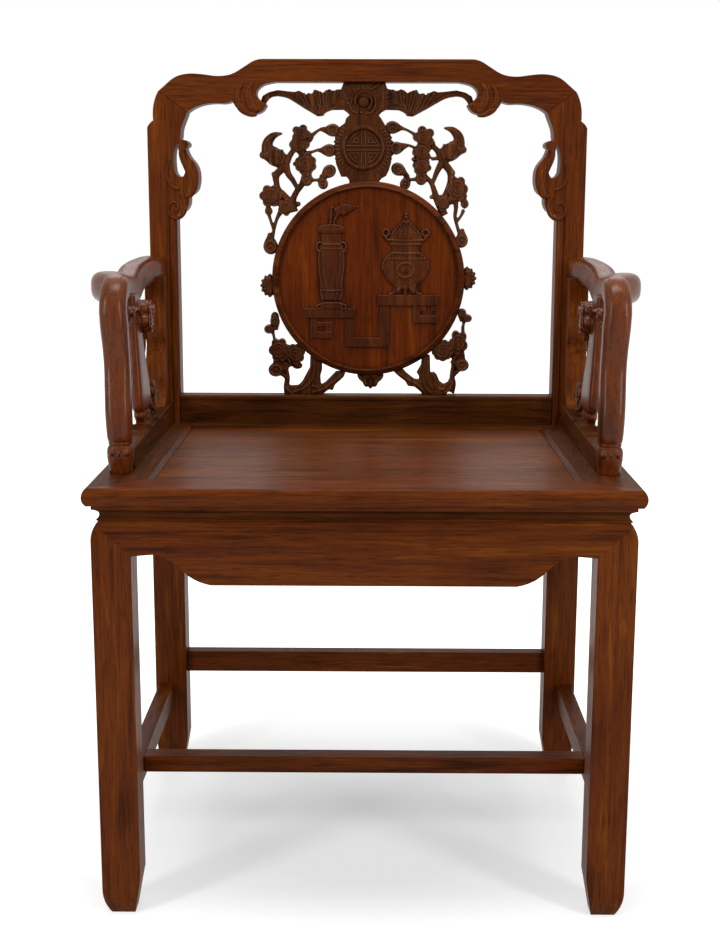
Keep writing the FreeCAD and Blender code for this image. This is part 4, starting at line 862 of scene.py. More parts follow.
@dataclass
class JoineryFrame:
    """Legs, aprons, stretchers, seat and back frame, which keep their CAD shapes."""

    finishes: Finishes
    worn_edge: float = 1.2
    fine_edge: float = 0.7
    round_edge: float = 5.0
    rounded: tuple[str, ...] = ("crest_rail", "back_left_post", "back_right_post")
    # Boards that sit in shade, whose colour is darkened as painted shade
    sheltered: tuple[str, ...] = ("seat_left_rail", "seat_right_rail", "seat_rear_rail",
                                  "back_bottom_rail")
    upright: tuple[str, ...] = ("front_left_leg", "front_right_leg", "rear_left_leg",
                                "rear_right_leg", "back_left_post", "back_right_post")
    across: tuple[str, ...] = ("front_apron", "rear_apron", "cross_stretcher",
                               "rear_stretcher", "seat_front_rail", "seat_rear_rail",
                               "crest_rail", "back_bottom_rail")
    backwards: tuple[str, ...] = ("left_apron", "right_apron", "left_stretcher",
                                  "right_stretcher", "seat_left_rail", "seat_right_rail",
                                  "seat_left_batten", "seat_right_batten")

    def dress(self) -> None:
        """Give each board its grain and worn edges; boards in shade get painted shade."""
        for names, grain in ((self.upright, Grain.UPRIGHT), (self.across, Grain.ACROSS),
                             (self.backwards, Grain.BACKWARDS)):
            for name in names:
                edge = self.round_edge if name in self.rounded else self.worn_edge
                finish = self.finishes.waxed if name in self.sheltered else self.finishes.frame
                self.dress_node(name, finish[grain], edge)
        self.dress_node("seat_panel", self.finishes.panel, self.fine_edge)

    def dress_node(self, name: str, material: bpy.types.Material, edge: float) -> None:
        """Finish one CAD node.

        Args:
            name: Name of the node.
            material: Its finish.
            edge: Width of its worn edges.
        """
        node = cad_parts[name]
        node.data.materials.clear()
        node.data.materials.append(material)
        softened(node, edge)
        LOG.info("%s dressed", name)


# Outline of the waist's moulding, anticlockwise from its inner foot: how far out of the
# legs' upper faces and how high, in millimetres
WAIST_MOULDING = ((-12.0, 0.0), (4.0, 0.0), (4.2, 1.0), (3.4, 2.0), (1.8, 3.6), (1.0, 5.8),
                  (1.1, 7.8), (2.0, 9.6), (3.8, 11.0), (6.0, 12.0), (6.0, 13.0),
                  (-12.0, 13.0))


@dataclass
class WaistMoulding:
    """Hollow moulding round the waist, mitred at the corners over the legs' tops."""

    finishes: Finishes

    def build(self) -> None:
        """Lay one length along each side of the seat."""
        side_face, end_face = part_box("right_waist")[1].x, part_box("rear_waist")[1].y
        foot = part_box("front_waist")[0].z
        for name, corners, grain in (("front", ((-1, -1), (1, -1)), Grain.ACROSS),
                                     ("rear", ((1, 1), (-1, 1)), Grain.ACROSS),
                                     ("left", ((-1, 1), (-1, -1)), Grain.BACKWARDS),
                                     ("right", ((1, -1), (1, 1)), Grain.BACKWARDS)):
            form = Form()
            form.skin([[Vector((across * (side_face + mm(out)), along * (end_face + mm(out)),
                                foot + mm(up))) for out, up in WAIST_MOULDING]
                       for across, along in corners])
            # The moulding sits in shade under the seat's edge: its colour is darkened as painted
            # shade
            placed(f"{name}_waist_moulding", form.mesh(f"{name}_waist_moulding"),
                   self.finishes.waxed[grain], [f"{name}_waist"])


# Scrolls carved on the right half of the back frame: spots are the distance from the
# chair's middle and the height, each followed by the width there, in millimetres
LOBE_SCROLL = (
    (((152.0, 962.0), 5), ((156.5, 953.0), 9), ((157.0, 943.5), 12.5), ((153.5, 932.0), 12),
     ((146.0, 925.5), 8)),
    (((165.0, 960.0), 4), ((171.0, 950.0), 7), ((172.0, 940.0), 9), ((167.0, 928.5), 9.5),
     ((156.0, 921.5), 7), ((146.5, 920.5), 4)),
)
HOOK_SCROLL = (
    (((242.5, 877.5), 5), ((247.5, 873.5), 8), ((246.5, 864.5), 8.5), ((241.0, 853.0), 10),
     ((235.0, 841.0), 12), ((233.5, 828.0), 13), ((237.5, 817.5), 11), ((244.0, 813.5), 6)),
    (((250.2, 816.5), 4), ((244.6, 806.0), 6), ((245.4, 794.5), 6.5), ((251.6, 786.6), 6),
     ((260.4, 785.4), 5), ((266.4, 792.1), 4.5), ((266.4, 801.0), 4.5), ((260.8, 806.6), 4.5),
     ((254.6, 803.6), 4), ((254.4, 796.8), 4), ((259.2, 795.4), 3.5)),
    (((264.0, 862.0), 4), ((267.5, 850.0), 5), ((267.0, 836.0), 5.5), ((260.0, 826.5), 5.5),
     ((251.0, 823.0), 4)),
)


@dataclass
class FrameScrolls:
    """Shallow scrolls on the crest's lobes and on the cloud hooks of the back posts."""

    finishes: Finishes
    rise: float = 2.6
    root: float = 5
    grit: float = 0.7

    def build(self) -> None:
        """Carve both scrolls on both sides."""
        for name, node, lines, grain in (("lobe", "crest_rail", LOBE_SCROLL, Grain.ACROSS),
                                         ("hook", "back_{}_post", HOOK_SCROLL, Grain.UPRIGHT)):
            for side, sign in (("left", -1), ("right", 1)):
                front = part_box(node.format(side))[0].y
                carving = Carving(upright_board(Vector((0, front, 0))))
                for line in lines:
                    carving.stem([(sign * x, z) for (x, z), _ in line],
                                 [width for _, width in line], -self.root, self.rise)
                mesh = fused(carving, f"{side}_{name}_scroll", self.grit)
                placed(f"{side}_{name}_scroll", mesh, self.finishes.frame[grain])


@dataclass(frozen=True)
class Spray:
    """Places of a carved branch, in shares of the medallion's radius about its centre.

    A stem is its spots and its width at each. A blossom is its middle, half width, half
    height and number of petals. A bud is its middle, half width and the degrees towards
    its round end. A lobe is its middle, half width, half height and turn.
    """

    stems: tuple[tuple[tuple[Spot, ...], tuple[float, ...]], ...]
    blossoms: tuple[tuple[float, float, float, float, int], ...]
    buds: tuple[tuple[float, float, float, float], ...]
    lobes: tuple[tuple[float, float, float, float, float], ...]
    trunk: tuple[Spot, ...] = ()
    ridges: tuple[tuple[Spot, ...], ...] = ()
    fruit: tuple[float, float, int] | None = None


LEFT_BRANCH = Spray(
    stems=(
        (((-0.76, 1.36), (-0.82, 1.28), (-0.86, 1.19), (-0.92, 1.12), (-0.965, 1.07),
          (-0.96, 0.99), (-0.94, 0.92), (-0.89, 0.87), (-0.83, 0.80), (-0.79, 0.72)),
         (0.045, 0.055, 0.062, 0.068, 0.07, 0.055, 0.06, 0.065, 0.07, 0.08)),
        (((-0.86, 1.17), (-0.84, 1.09), (-0.79, 1.02), (-0.75, 0.95)),
         (0.07, 0.06, 0.05, 0.04)),
        (((-0.67, 1.06), (-0.70, 0.97), (-0.745, 0.91), (-0.78, 0.84), (-0.795, 0.77),
          (-0.78, 0.69)), (0.055, 0.055, 0.055, 0.06, 0.07, 0.09)),
        (((-0.79, 1.19), (-0.74, 1.19), (-0.70, 1.19)), (0.035, 0.03, 0.04)),
        (((-0.62, 1.46), (-0.55, 1.52), (-0.49, 1.555), (-0.42, 1.56)),
         (0.05, 0.03, 0.028, 0.03)),
        (((-0.68, 1.30), (-0.59, 1.315), (-0.53, 1.335), (-0.49, 1.34)),
         (0.04, 0.028, 0.028, 0.03)),
        (((-0.62, 1.02), (-0.53, 1.025), (-0.47, 1.04)), (0.04, 0.028, 0.04)),
        (((-0.95, 1.24), (-0.88, 1.22), (-0.84, 1.20)), (0.10, 0.09, 0.06)),
        (((-0.90, 0.72), (-0.95, 0.63), (-0.98, 0.53), (-1.0, 0.42)),
         (0.06, 0.035, 0.032, 0.035)),
        (((-1.04, 0.67), (-1.015, 0.59), (-0.985, 0.50)), (0.035, 0.028, 0.03)),
    ),
    blossoms=((-0.706, 1.50, 0.088, 0.085, 5), (-0.727, 1.38, 0.082, 0.085, 5),
              (-0.657, 1.19, 0.103, 0.105, 8), (-1.02, 0.858, 0.104, 0.104, 6),
              (-0.865, 0.74, 0.072, 0.078, 5)),
    buds=((-0.375, 1.54, 0.062, 0), (-0.41, 1.33, 0.062, 0), (-0.41, 1.115, 0.062, 40),
          (-0.475, 0.985, 0.05, -75), (-1.04, 0.70, 0.038, -80), (-1.018, 0.335, 0.072, -85),
          (-0.645, 1.03, 0.06, -90)),
    lobes=((-0.92, 0.88, 0.035, 0.028, 60), (-0.94, 0.79, 0.04, 0.03, 40),
           (-0.81, 1.39, 0.02, 0.03, 0), (-0.635, 1.40, 0.02, 0.04, 0),
           (-0.61, 1.46, 0.03, 0.045, -20), (-0.99, 1.075, 0.02, 0.03, 20),
           (-0.733, 0.775, 0.024, 0.024, 0), (-0.60, 1.23, 0.02, 0.03, 0)),
    fruit=(-0.985, 1.27, -1),
)
RIGHT_BRANCH = Spray(
    stems=(
        (((0.66, 1.38), (0.715, 1.33), (0.755, 1.25), (0.80, 1.18), (0.85, 1.11),
          (0.85, 1.02), (0.825, 0.94), (0.79, 0.86)),
         (0.05, 0.055, 0.065, 0.07, 0.07, 0.055, 0.05, 0.05)),
        (((0.755, 1.19), (0.72, 1.13), (0.69, 1.06), (0.67, 1.0)),
         (0.07, 0.055, 0.045, 0.035)),
        (((0.65, 1.245), (0.72, 1.25)), (0.035, 0.035)),
        (((0.59, 1.06), (0.65, 1.0), (0.685, 0.91), (0.713, 0.82), (0.745, 0.75),
          (0.79, 0.66)), (0.05, 0.045, 0.055, 0.065, 0.07, 0.08)),
        (((0.80, 1.25), (0.86, 1.28)), (0.07, 0.09)),
        (((0.28, 1.575), (0.38, 1.55), (0.44, 1.52), (0.49, 1.49)),
         (0.05, 0.028, 0.028, 0.04)),
        (((0.33, 1.385), (0.41, 1.385), (0.48, 1.36)), (0.05, 0.028, 0.03)),
        (((0.36, 1.04), (0.42, 1.03), (0.50, 1.035)), (0.04, 0.028, 0.04)),
        (((0.90, 0.86), (0.91, 0.74), (0.90, 0.65), (0.92, 0.56), (0.95, 0.46)),
         (0.06, 0.042, 0.035, 0.032, 0.035)),
        (((0.99, 0.72), (0.965, 0.66), (0.92, 0.60)), (0.04, 0.028, 0.03)),
    ),
    blossoms=((0.575, 1.47, 0.10, 0.10, 5), (0.554, 1.31, 0.088, 0.09, 5),
              (0.554, 1.165, 0.088, 0.08, 6), (0.92, 0.935, 0.10, 0.12, 6),
              (0.77, 0.79, 0.068, 0.075, 5)),
    buds=((0.245, 1.57, 0.062, 175), (0.283, 1.355, 0.062, 190), (0.304, 1.138, 0.062, 150),
          (0.38, 0.985, 0.052, -110), (1.0, 0.78, 0.04, -85), (0.968, 0.40, 0.064, -95),
          (0.547, 1.04, 0.058, -90)),
    lobes=((0.66, 1.41, 0.028, 0.05, 20), (0.61, 1.25, 0.02, 0.04, -20),
           (0.47, 1.24, 0.025, 0.02, 0), (0.85, 0.82, 0.035, 0.045, 0),
           (0.99, 0.85, 0.03, 0.04, -30), (0.88, 1.10, 0.02, 0.03, 0),
           (0.655, 0.85, 0.02, 0.02, 0), (0.83, 0.90, 0.03, 0.05, 20)),
    fruit=(0.866, 1.33, 1),
)
LEFT_ROOT = Spray(
    stems=(
        (((-1.0, -0.52), (-0.98, -0.60), (-0.972, -0.67)), (0.04, 0.026, 0.03)),
        (((-0.87, -0.86), (-0.845, -0.96), (-0.838, -1.03), (-0.846, -1.11), (-0.82, -1.18)),
         (0.05, 0.042, 0.05, 0.06, 0.10)),
        (((-0.93, -0.80), (-0.95, -0.92)), (0.09, 0.09)),
        (((-0.92, -0.97), (-0.87, -1.0), (-0.845, -1.03)), (0.04, 0.04, 0.04)),
        (((-0.75, -0.84), (-0.82, -0.89), (-0.86, -0.87)), (0.05, 0.045, 0.04)),
    ),
    blossoms=((-0.925, -0.735, 0.098, 0.115, 6), (-0.754, -0.775, 0.092, 0.10, 7)),
    buds=((-0.97, -0.44, 0.048, 105), (-1.03, -0.52, 0.046, 190), (-0.957, -0.94, 0.07, 190)),
    lobes=((-0.835, -0.80, 0.028, 0.06, 0), (-0.735, -0.895, 0.05, 0.035, 0),
           (-0.97, -0.40, 0.04, 0.055, 5), (-0.835, -0.71, 0.03, 0.03, 0)),
    trunk=((-0.60, -0.78), (-0.605, -0.91), (-0.64, -0.976), (-0.684, -1.058),
           (-0.722, -1.096), (-0.80, -1.10), (-0.85, -1.08), (-0.878, -1.115), (-0.83, -1.197),
           (-0.811, -1.2076), (-0.494, -1.2076), (-0.405, -1.14), (-0.364, -1.15),
           (-0.34, -1.09), (-0.25, -1.01), (-0.23, -0.955), (-0.33, -0.95), (-0.443, -1.065),
           (-0.488, -1.09), (-0.494, -1.0), (-0.475, -0.93), (-0.48, -0.80)),
    ridges=(((-0.557, -0.85), (-0.557, -0.95), (-0.57, -1.02), (-0.62, -1.09), (-0.70, -1.14),
             (-0.77, -1.165)),
            ((-0.515, -0.87), (-0.522, -1.0), (-0.53, -1.07), (-0.52, -1.13)),
            ((-0.592, -0.86), (-0.60, -0.95), (-0.64, -1.03), (-0.70, -1.105)),
            ((-0.58, -1.10), (-0.545, -1.115), (-0.53, -1.15), (-0.57, -1.17)),
            ((-0.28, -1.0), (-0.36, -1.06), (-0.44, -1.12), (-0.52, -1.16)),
            ((-0.86, -1.11), (-0.83, -1.15), (-0.78, -1.19))),
)
RIGHT_ROOT = Spray(
    stems=(
        (((1.0, -0.40), (0.99, -0.48), (0.985, -0.50), (0.993, -0.60)),
         (0.04, 0.026, 0.034, 0.028)),
        (((0.90, -0.80), (0.885, -0.90), (0.875, -1.0), (0.885, -1.08), (0.85, -1.16)),
         (0.05, 0.04, 0.05, 0.06, 0.10)),
        (((0.95, -0.72), (0.975, -0.86)), (0.09, 0.08)),
        (((0.95, -0.93), (0.91, -0.97), (0.88, -1.0)), (0.04, 0.04, 0.04)),
        (((0.80, -0.76), (0.90, -0.75)), (0.07, 0.07)),
    ),
    blossoms=((0.94, -0.65, 0.09, 0.115, 5), (0.774, -0.735, 0.105, 0.105, 9)),
    buds=((0.975, -0.35, 0.044, 80), (1.034, -0.402, 0.04, -10), (0.977, -0.885, 0.064, -15)),
    lobes=((0.86, -0.70, 0.028, 0.05, 0), (0.97, -0.76, 0.03, 0.05, 20),
           (0.93, -0.78, 0.03, 0.03, 0)),
    trunk=((0.56, -0.78), (0.552, -0.88), (0.514, -0.945), (0.504, -0.964), (0.527, -0.989),
           (0.533, -1.033), (0.482, -1.027), (0.40, -0.964), (0.36, -0.92), (0.26, -0.945),
           (0.311, -0.995), (0.387, -1.052), (0.416, -1.103), (0.482, -1.109),
           (0.546, -1.159), (0.577, -1.2076), (0.806, -1.2076), (0.812, -1.185),
           (0.898, -1.096), (0.90, -1.03), (0.85, -1.014), (0.831, -1.058), (0.787, -1.08),
           (0.742, -1.046), (0.717, -0.983), (0.685, -0.954), (0.650, -0.964), (0.644, -0.78)),
    ridges=(((0.585, -0.83), (0.58, -0.93), (0.575, -1.03), (0.60, -1.12), (0.66, -1.17)),
            ((0.622, -0.84), (0.622, -0.95), (0.63, -1.05), (0.67, -1.13)),
            ((0.672, -0.975), (0.70, -1.03), (0.70, -1.09), (0.74, -1.13), (0.80, -1.13)),
            ((0.552, -0.92), (0.535, -0.96), (0.555, -1.0)),
            ((0.34, -0.98), (0.43, -1.04), (0.52, -1.09), (0.58, -1.15)),
            ((0.88, -1.06), (0.86, -1.12), (0.80, -1.17))),
)

# Outline of the collar about the roundel's middle, in shares of the collar's radius
COLLAR_OUTLINE = (
    (-0.43, 1.20), (-0.43, 1.11), (-0.58, 0.96), (-0.62, 0.81), (-0.83, 0.66), (-0.94, 0.43),
    (-0.955, 0.12), (-0.945, -0.20), (-0.92, -0.50), (-0.83, -0.73), (-0.74, -0.94),
    (-0.56, -0.94), (-0.48, -1.04), (-0.46, -1.25), (0.53, -1.25), (0.53, -1.09),
    (0.61, -0.99), (0.76, -0.91), (0.86, -0.71), (0.93, -0.45), (0.955, -0.15), (0.95, 0.15),
    (0.91, 0.41), (0.78, 0.66), (0.68, 0.81), (0.59, 0.96), (0.47, 1.11), (0.47, 1.20),
)

# One wing of the bat, in shares of its half span and of its height: its scalloped upper
# edge from the tip to the body, then its lower edge back out to the tip
WING_UPPER = (
    (1.09, 0.30), (1.066, 0.44), (1.045, 0.61), (0.984, 0.716), (0.892, 0.78), (0.794, 0.745),
    (0.721, 0.725), (0.684, 0.765), (0.648, 0.715), (0.611, 0.645), (0.593, 0.70), (0.55, 0.675),
    (0.529, 0.80), (0.485, 0.765), (0.446, 0.70), (0.41, 0.77), (0.379, 0.815), (0.336, 0.755),
    (0.30, 0.805), (0.269, 0.80), (0.12, 0.90),
)
WING_LOWER = (
    (0.12, 0.20), (0.25, 0.205), (0.403, 0.194), (0.431, 0.13), (0.434, 0.03), (0.495, 0.012),
    (0.574, 0.148), (0.666, 0.33), (0.745, 0.478), (0.819, 0.565), (0.892, 0.60),
    (0.953, 0.58), (0.996, 0.478), (1.03, 0.33), (1.06, 0.20),
)
# Ribs of one wing: spot at the scalloped edge, spot at the shoulder, width at the edge
WING_RIBS = (
    (0.285, 0.77, 0.36, 0.30, 5.2), (0.318, 0.76, 0.385, 0.26, 3.6),
    (0.362, 0.78, 0.405, 0.20, 4.6), (0.400, 0.78, 0.420, 0.16, 4.2),
    (0.438, 0.70, 0.435, 0.13, 4.0), (0.478, 0.74, 0.450, 0.10, 4.6),
    (0.520, 0.77, 0.462, 0.08, 4.8), (0.560, 0.66, 0.480, 0.08, 4.2),
    (0.592, 0.67, 0.500, 0.08, 4.4), (0.640, 0.69, 0.525, 0.11, 4.4),
    (0.690, 0.71, 0.560, 0.18, 4.4),
)
# Bone along the top of one wing and the fold along its lower edge
WING_BONE = ((0.50, 0.08), (0.60, 0.24), (0.70, 0.44), (0.79, 0.60), (0.89, 0.665),
             (0.97, 0.62), (1.02, 0.48), (1.07, 0.22))
WING_BONE_WIDTHS = (3.0, 4.0, 5.0, 6.0, 6.4, 6.6, 7.0, 8.0)
WING_HEM = ((0.26, 0.27), (0.34, 0.255), (0.42, 0.16), (0.45, 0.05))
# Outline of the body between the wings
BAT_BODY = ((-0.235, 1.0), (0.21, 1.0), (0.235, 0.80), (0.22, 0.21), (0.165, 0.13),
            (0.11, -0.04), (-0.155, -0.04), (-0.165, 0.04), (-0.235, 0.21), (-0.262, 0.80))
# Folds of skin round the boss where the wings meet
BAT_FOLDS: tuple[Stroke, ...] = (
    (((-0.115, 0.36), (-0.118, 0.52), (-0.085, 0.68), (-0.03, 0.74), (0.03, 0.68)),
     (2.8, 3.0, 3.0, 2.8, 2.2), 8.6),
    (((0.035, 0.60), (0.056, 0.50), (0.050, 0.38), (0.01, 0.22)), (2.4, 2.8, 3.0, 2.4), 8.6),
    (((0.075, 0.62), (0.096, 0.48), (0.092, 0.28), (0.05, 0.12), (-0.01, 0.10)),
     (2.8, 3.2, 3.4, 3.2, 2.6), 8.0),
    (((-0.15, 0.46), (-0.17, 0.32), (-0.14, 0.16), (-0.09, 0.11)), (3.4, 3.8, 3.4, 3.0), 7.6),
    (((-0.24, 0.74), (-0.21, 0.56), (-0.18, 0.40)), (4.0, 3.4, 2.6), 6.4),
    (((-0.20, 0.92), (-0.18, 0.74), (-0.14, 0.60)), (3.4, 3.4, 2.6), 6.8),
    (((-0.14, 0.96), (-0.135, 0.84), (-0.12, 0.72)), (2.6, 2.6, 2.2), 6.4),
    (((-0.095, 0.96), (-0.09, 0.86), (-0.085, 0.76)), (2.4, 2.4, 2.2), 6.4),
    (((-0.05, 0.96), (-0.045, 0.88), (-0.04, 0.80)), (2.4, 2.4, 2.2), 6.2),
    (((0.03, 0.78), (0.07, 0.84), (0.11, 0.92)), (3.0, 4.0, 3.0), 7.2),
    (((0.08, 0.70), (0.14, 0.80), (0.19, 0.95)), (5.0, 7.0, 6.0), 6.0),
    (((0.12, 0.55), (0.20, 0.56), (0.32, 0.62)), (6.0, 9.0, 5.0), 5.4),
    (((0.12, 0.34), (0.20, 0.33), (0.33, 0.40)), (6.0, 8.0, 4.0), 5.0),
    (((0.10, 0.10), (0.145, 0.20), (0.17, 0.32)), (3.0, 3.4, 3.0), 6.6),
    (((-0.34, 0.62), (-0.26, 0.58), (-0.20, 0.50)), (4.0, 6.0, 5.0), 5.2),
    (((-0.36, 0.40), (-0.27, 0.34), (-0.19, 0.30)), (4.0, 6.0, 5.0), 5.2),
)

# The vase and the censer in relief, in shares of the medallion's radius: a profile is
# heights and half widths, and a stroke is drawn out from the vessel's middle line. The
# strokes' widths and heights over the relief are millimetres
VASE_BODY = ((-0.215, 0.100), (-0.12, 0.098), (-0.06, 0.104), (0.02, 0.116), (0.16, 0.128),
             (0.26, 0.132), (0.33, 0.126), (0.38, 0.104), (0.50, 0.106))
VASE_LIP = ((0.47, 0.112), (0.49, 0.138), (0.515, 0.145), (0.545, 0.120), (0.56, 0.09))
VASE_FOOT = ((-0.305, 0.12), (-0.28, 0.135), (-0.255, 0.135), (-0.235, 0.10))
VASE_FOLDS: tuple[Stroke, ...] = (
    (((0.118, 0.30), (0.130, 0.20), (0.120, 0.05), (0.104, -0.07), (0.112, -0.12),
      (0.094, -0.22)), 2.0, 0.1),
    (((0.095, 0.27), (0.085, 0.10), (0.060, -0.05), (0.045, -0.21)), 1.5, -0.1),
    (((0.108, 0.38), (0.140, 0.37), (0.150, 0.33), (0.132, 0.28), (0.112, 0.29)), 2.6, 0.3),
)
VASE_BANDS = ((0.36, 0.10), (0.315, 0.115), (-0.115, 0.10))
VASE_TWIGS: tuple[Stroke, ...] = (
    (((-0.13, -0.262), (0, -0.245), (0.13, -0.262)), 2.4, 0.4),
    (((-0.010, 0.52), (-0.004, 0.64), (0.002, 0.74)), (3.4, 3.2, 3.0), -0.3),
    (((0.022, 0.52), (0.030, 0.60), (0.065, 0.66)), (1.8, 1.8, 2.2), -0.6),
)
VASE_LEAF = ((0.045, 0.69), (0.13, 0.715), (0.29, 0.745))
CENSER_BELLY = ((-0.10, 0.06), (-0.06, 0.13), (0.0, 0.195), (0.08, 0.232), (0.14, 0.238),
                (0.20, 0.215), (0.25, 0.165), (0.285, 0.140))
CENSER_NECK = ((0.27, 0.135), (0.33, 0.138), (0.36, 0.158), (0.42, 0.185))
CENSER_LID = ((0.42, 0.17), (0.47, 0.155), (0.53, 0.105), (0.59, 0.045), (0.62, 0.028))
CENSER_BANDS = ((0.405, 0.182, 2.0), (0.365, 0.165, 1.6), (0.275, 0.150, 1.6),
                (0.215, 0.205, 1.6))
CENSER_SIDES: tuple[Stroke, ...] = (
    (((0.215, 0.445), (0.19, 0.41), (0.165, 0.395)), 3.4, -0.4),
    (((0.145, 0.27), (0.20, 0.225), (0.232, 0.165), (0.236, 0.10)), 2.0, -0.2),
    (((0.09, -0.06), (0.105, -0.105), (0.125, -0.15)), (6.0, 5.0, 4.0), -0.4),
)
# Bars of the stand: two opposite corners, and one where the bar stands a step higher
STAND_BARS = (
    (-0.66, -0.30, -0.14, -0.40, 1), (-0.60, -0.40, -0.53, -0.61, 0),
    (-0.53, -0.54, -0.37, -0.61, 1), (-0.44, -0.44, -0.37, -0.54, 0),
    (-0.52, -0.44, -0.44, -0.49, 0), (-0.24, -0.40, -0.15, -0.70, 0),
    (-0.15, -0.60, 0.12, -0.70, 1), (0.12, -0.27, 0.22, -0.70, 0),
    (0.10, -0.16, 0.72, -0.27, 1), (0.46, -0.27, 0.54, -0.45, 0),
    (0.54, -0.37, 0.72, -0.45, 1), (0.65, -0.27, 0.72, -0.33, 0),
    (0.54, -0.27, 0.60, -0.33, 0),
)
STAND_RIMS = ((-0.66, -0.14, -0.305), (0.10, 0.72, -0.165))
# Lobes of the drop, in shares of its height: out, down and degrees of turn
DROP_LOBES = ((-0.62, 0.22, 40), (-0.36, 0.50, 20), (0, 0.60, 0), (0.36, 0.50, -20),
              (0.62, 0.22, -40))


@dataclass
class CarvedSplat:
    """Pierced splat: ring, panel, collar, bat, drop and the flowering plum round it."""

    finishes: Finishes
    radius: float = 131.5
    ring_width: float = 9.5
    rebate: float = 0.6
    half_ring: float = 11
    half_branch: float = 6
    half_blossom: float = 7.5
    # How much nearer to the eye the splat's top is, as a share, and how much fuller the
    # branches are than they look against the light
    nearness: float = 0.0133
    fullness: float = 1.12
    bark_ridge: float = 3.0
    panel_front: float = 4
    relief_rise: float = 4.5
    relief_grit: float = 0.7
    # Middle lines of the two vessels as shares of the radius, and the stand's share of
    # the relief's rise
    vase_place: float = -0.383
    censer_place: float = 0.385
    stand_share: float = 0.62
    stand_step: float = 0.9
    collar_radius: float = 40.4
    collar_height: float = 84.2
    collar_shift: float = -7.2
    roundel_radius: float = 29.6
    roundel_rim: float = 6.0
    roundel_share: float = 0.517  # of the collar's height
    fret_bar: float = 1.9
    fret_floor: float = 2
    fret_rise: float = 7.2
    flutes: int = 44
    bat_height: float = 44.6
    bat_half_span: float = 133.6
    drop_height: float = 21
    drop_shift: float = 3.5
    grit: float = 0.9

    def __post_init__(self) -> None:
        """Place the carving board in the middle of the ring's CAD node."""
        low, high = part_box("medallion_ring")
        self.board = upright_board((low + high) / 2)

    def build(self) -> None:
        """Carve every piece of the splat."""
        self.ring()
        self.panel()
        self.collar()
        self.bat()
        self.drop()
        for name, spray in (("left_plum_branch", LEFT_BRANCH),
                            ("right_plum_branch", RIGHT_BRANCH),
                            ("left_plum_root", LEFT_ROOT), ("right_plum_root", RIGHT_ROOT)):
            self.plum(name, spray)
        for side, spot in (("left", (-1.01, -0.07)), ("right", (1.01, 0.01))):
            self.ring_blossom(side, spot)

    def carved(self, form: Form, node: str, drilled: bool = True,
               grit: float | None = None, rounds: int = 2) -> None:
        """Fuse a carving and let it stand for its node.

        Args:
            form: Shapes of the carving.
            node: CAD node that it stands for.
            drilled: Whether the space inside the ring is cut away.
            grit: Size of its finest cut, else that of the splat.
            rounds: Passes of sanding.
        """
        drill = self.core() if drilled else None
        mesh = fused(form, dressed(node), grit or self.grit, rounds, drill)
        placed(dressed(node), mesh, self.finishes.carving, [node])

    def core(self) -> Form:
        """Round space inside the ring that carving stays out of.

        Returns:
            The form, deeper than any carving.
        """
        form = Form()
        radius = mm(self.radius - self.ring_width / 2)
        form.skin([rounded_ring(self.board.at(0, 0, level), RIGHT, UP, radius, radius, 2, 96)
                   for level in (-30, 30)])
        return form

    def spots(self, line: Iterable[Spot]) -> list[Spot]:
        """Places by eye as millimetres on the board, the top being nearer to the eye."""
        return [(x * self.radius / near, z * self.radius / near)
                for x, z, near in ((x, z, 1 + self.nearness * z) for x, z in line)]

    def ring(self) -> None:
        """Turned ring whose front slopes out from a bright inner bead."""
        outer, inner = self.radius, self.radius - self.ring_width
        out = self.half_ring
        profile = [(inner, self.panel_front - 1), (inner + 0.3, out - 4.5),
                   (inner + 1.0, out - 1.8), (inner + 1.8, out - 0.5), (inner + 2.6, out),
                   (inner + 3.4, out - 0.4), (inner + 4.0, out - 1.0),
                   (outer - 3.0, out - 1.8), (outer - 1.2, out - 2.8), (outer - 0.2, out - 4.6),
                   (outer, out - 6), (outer, -out + 2), (outer - 2, -out), (inner + 2, -out),
                   (inner, -out + 2), (inner, -4)]
        mesh = lathe(self.board, profile).mesh("medallion_ring_turned")
        placed("medallion_ring_turned", mesh, self.finishes.ring,
               ["medallion_ring"])

    def panel(self) -> None:
        """Round panel with its low relief of vase, censer and stand."""
        edge = mm(self.radius - self.ring_width + self.rebate)
        form = Form()
        form.skin([rounded_ring(self.board.at(0, 0, level), RIGHT, UP, edge, edge, 2, 128)
                   for level in (-self.panel_front, self.panel_front)])
        placed("medallion_board", form.mesh("medallion_board"), self.finishes.medallion,
               ["medallion_panel"])
        relief = Carving(self.board)
        self.vase(relief)
        self.censer(relief)
        self.stand(relief)
        mesh = fused(relief, "medallion_relief", self.relief_grit, 1)
        placed("medallion_relief", mesh, self.finishes.relief)

    @property
    def relief_levels(self) -> tuple[float, float]:
        """Back of the relief, a little inside the panel, and its front."""
        return self.panel_front - 1, self.panel_front + self.relief_rise

    def shares(self, profile: Iterable[Spot]) -> list[Spot]:
        """Shares of the radius as millimetres."""
        return [(height * self.radius, half * self.radius) for height, half in profile]

    def beside(self, middle: float, line: Iterable[Spot], side: float = 1) -> list[Spot]:
        """Line drawn out to one side of an upright middle line, in shares of the radius."""
        return [(middle + side * out * self.radius, up * self.radius) for out, up in line]

    def band(self, relief: Carving, middle: float, height: float, half: float, sag: float,
             thick: float, rise: float) -> None:
        """Cord round a vessel, which sags a little towards the front.

        Args:
            relief: Carving that takes it.
            middle: Middle line of the vessel in millimetres.
            height: Height of its ends, as a share of the radius.
            half: Half its width, as a share of the radius.
            sag: How far it sags in millimetres.
            thick: Its thickness in millimetres.
            rise: How far it stands over the relief in millimetres.
        """
        r = self.radius
        low, high = self.relief_levels
        relief.stem([(middle - half * r, height * r), (middle, height * r - sag),
                     (middle + half * r, height * r)], thick, low, high + rise)

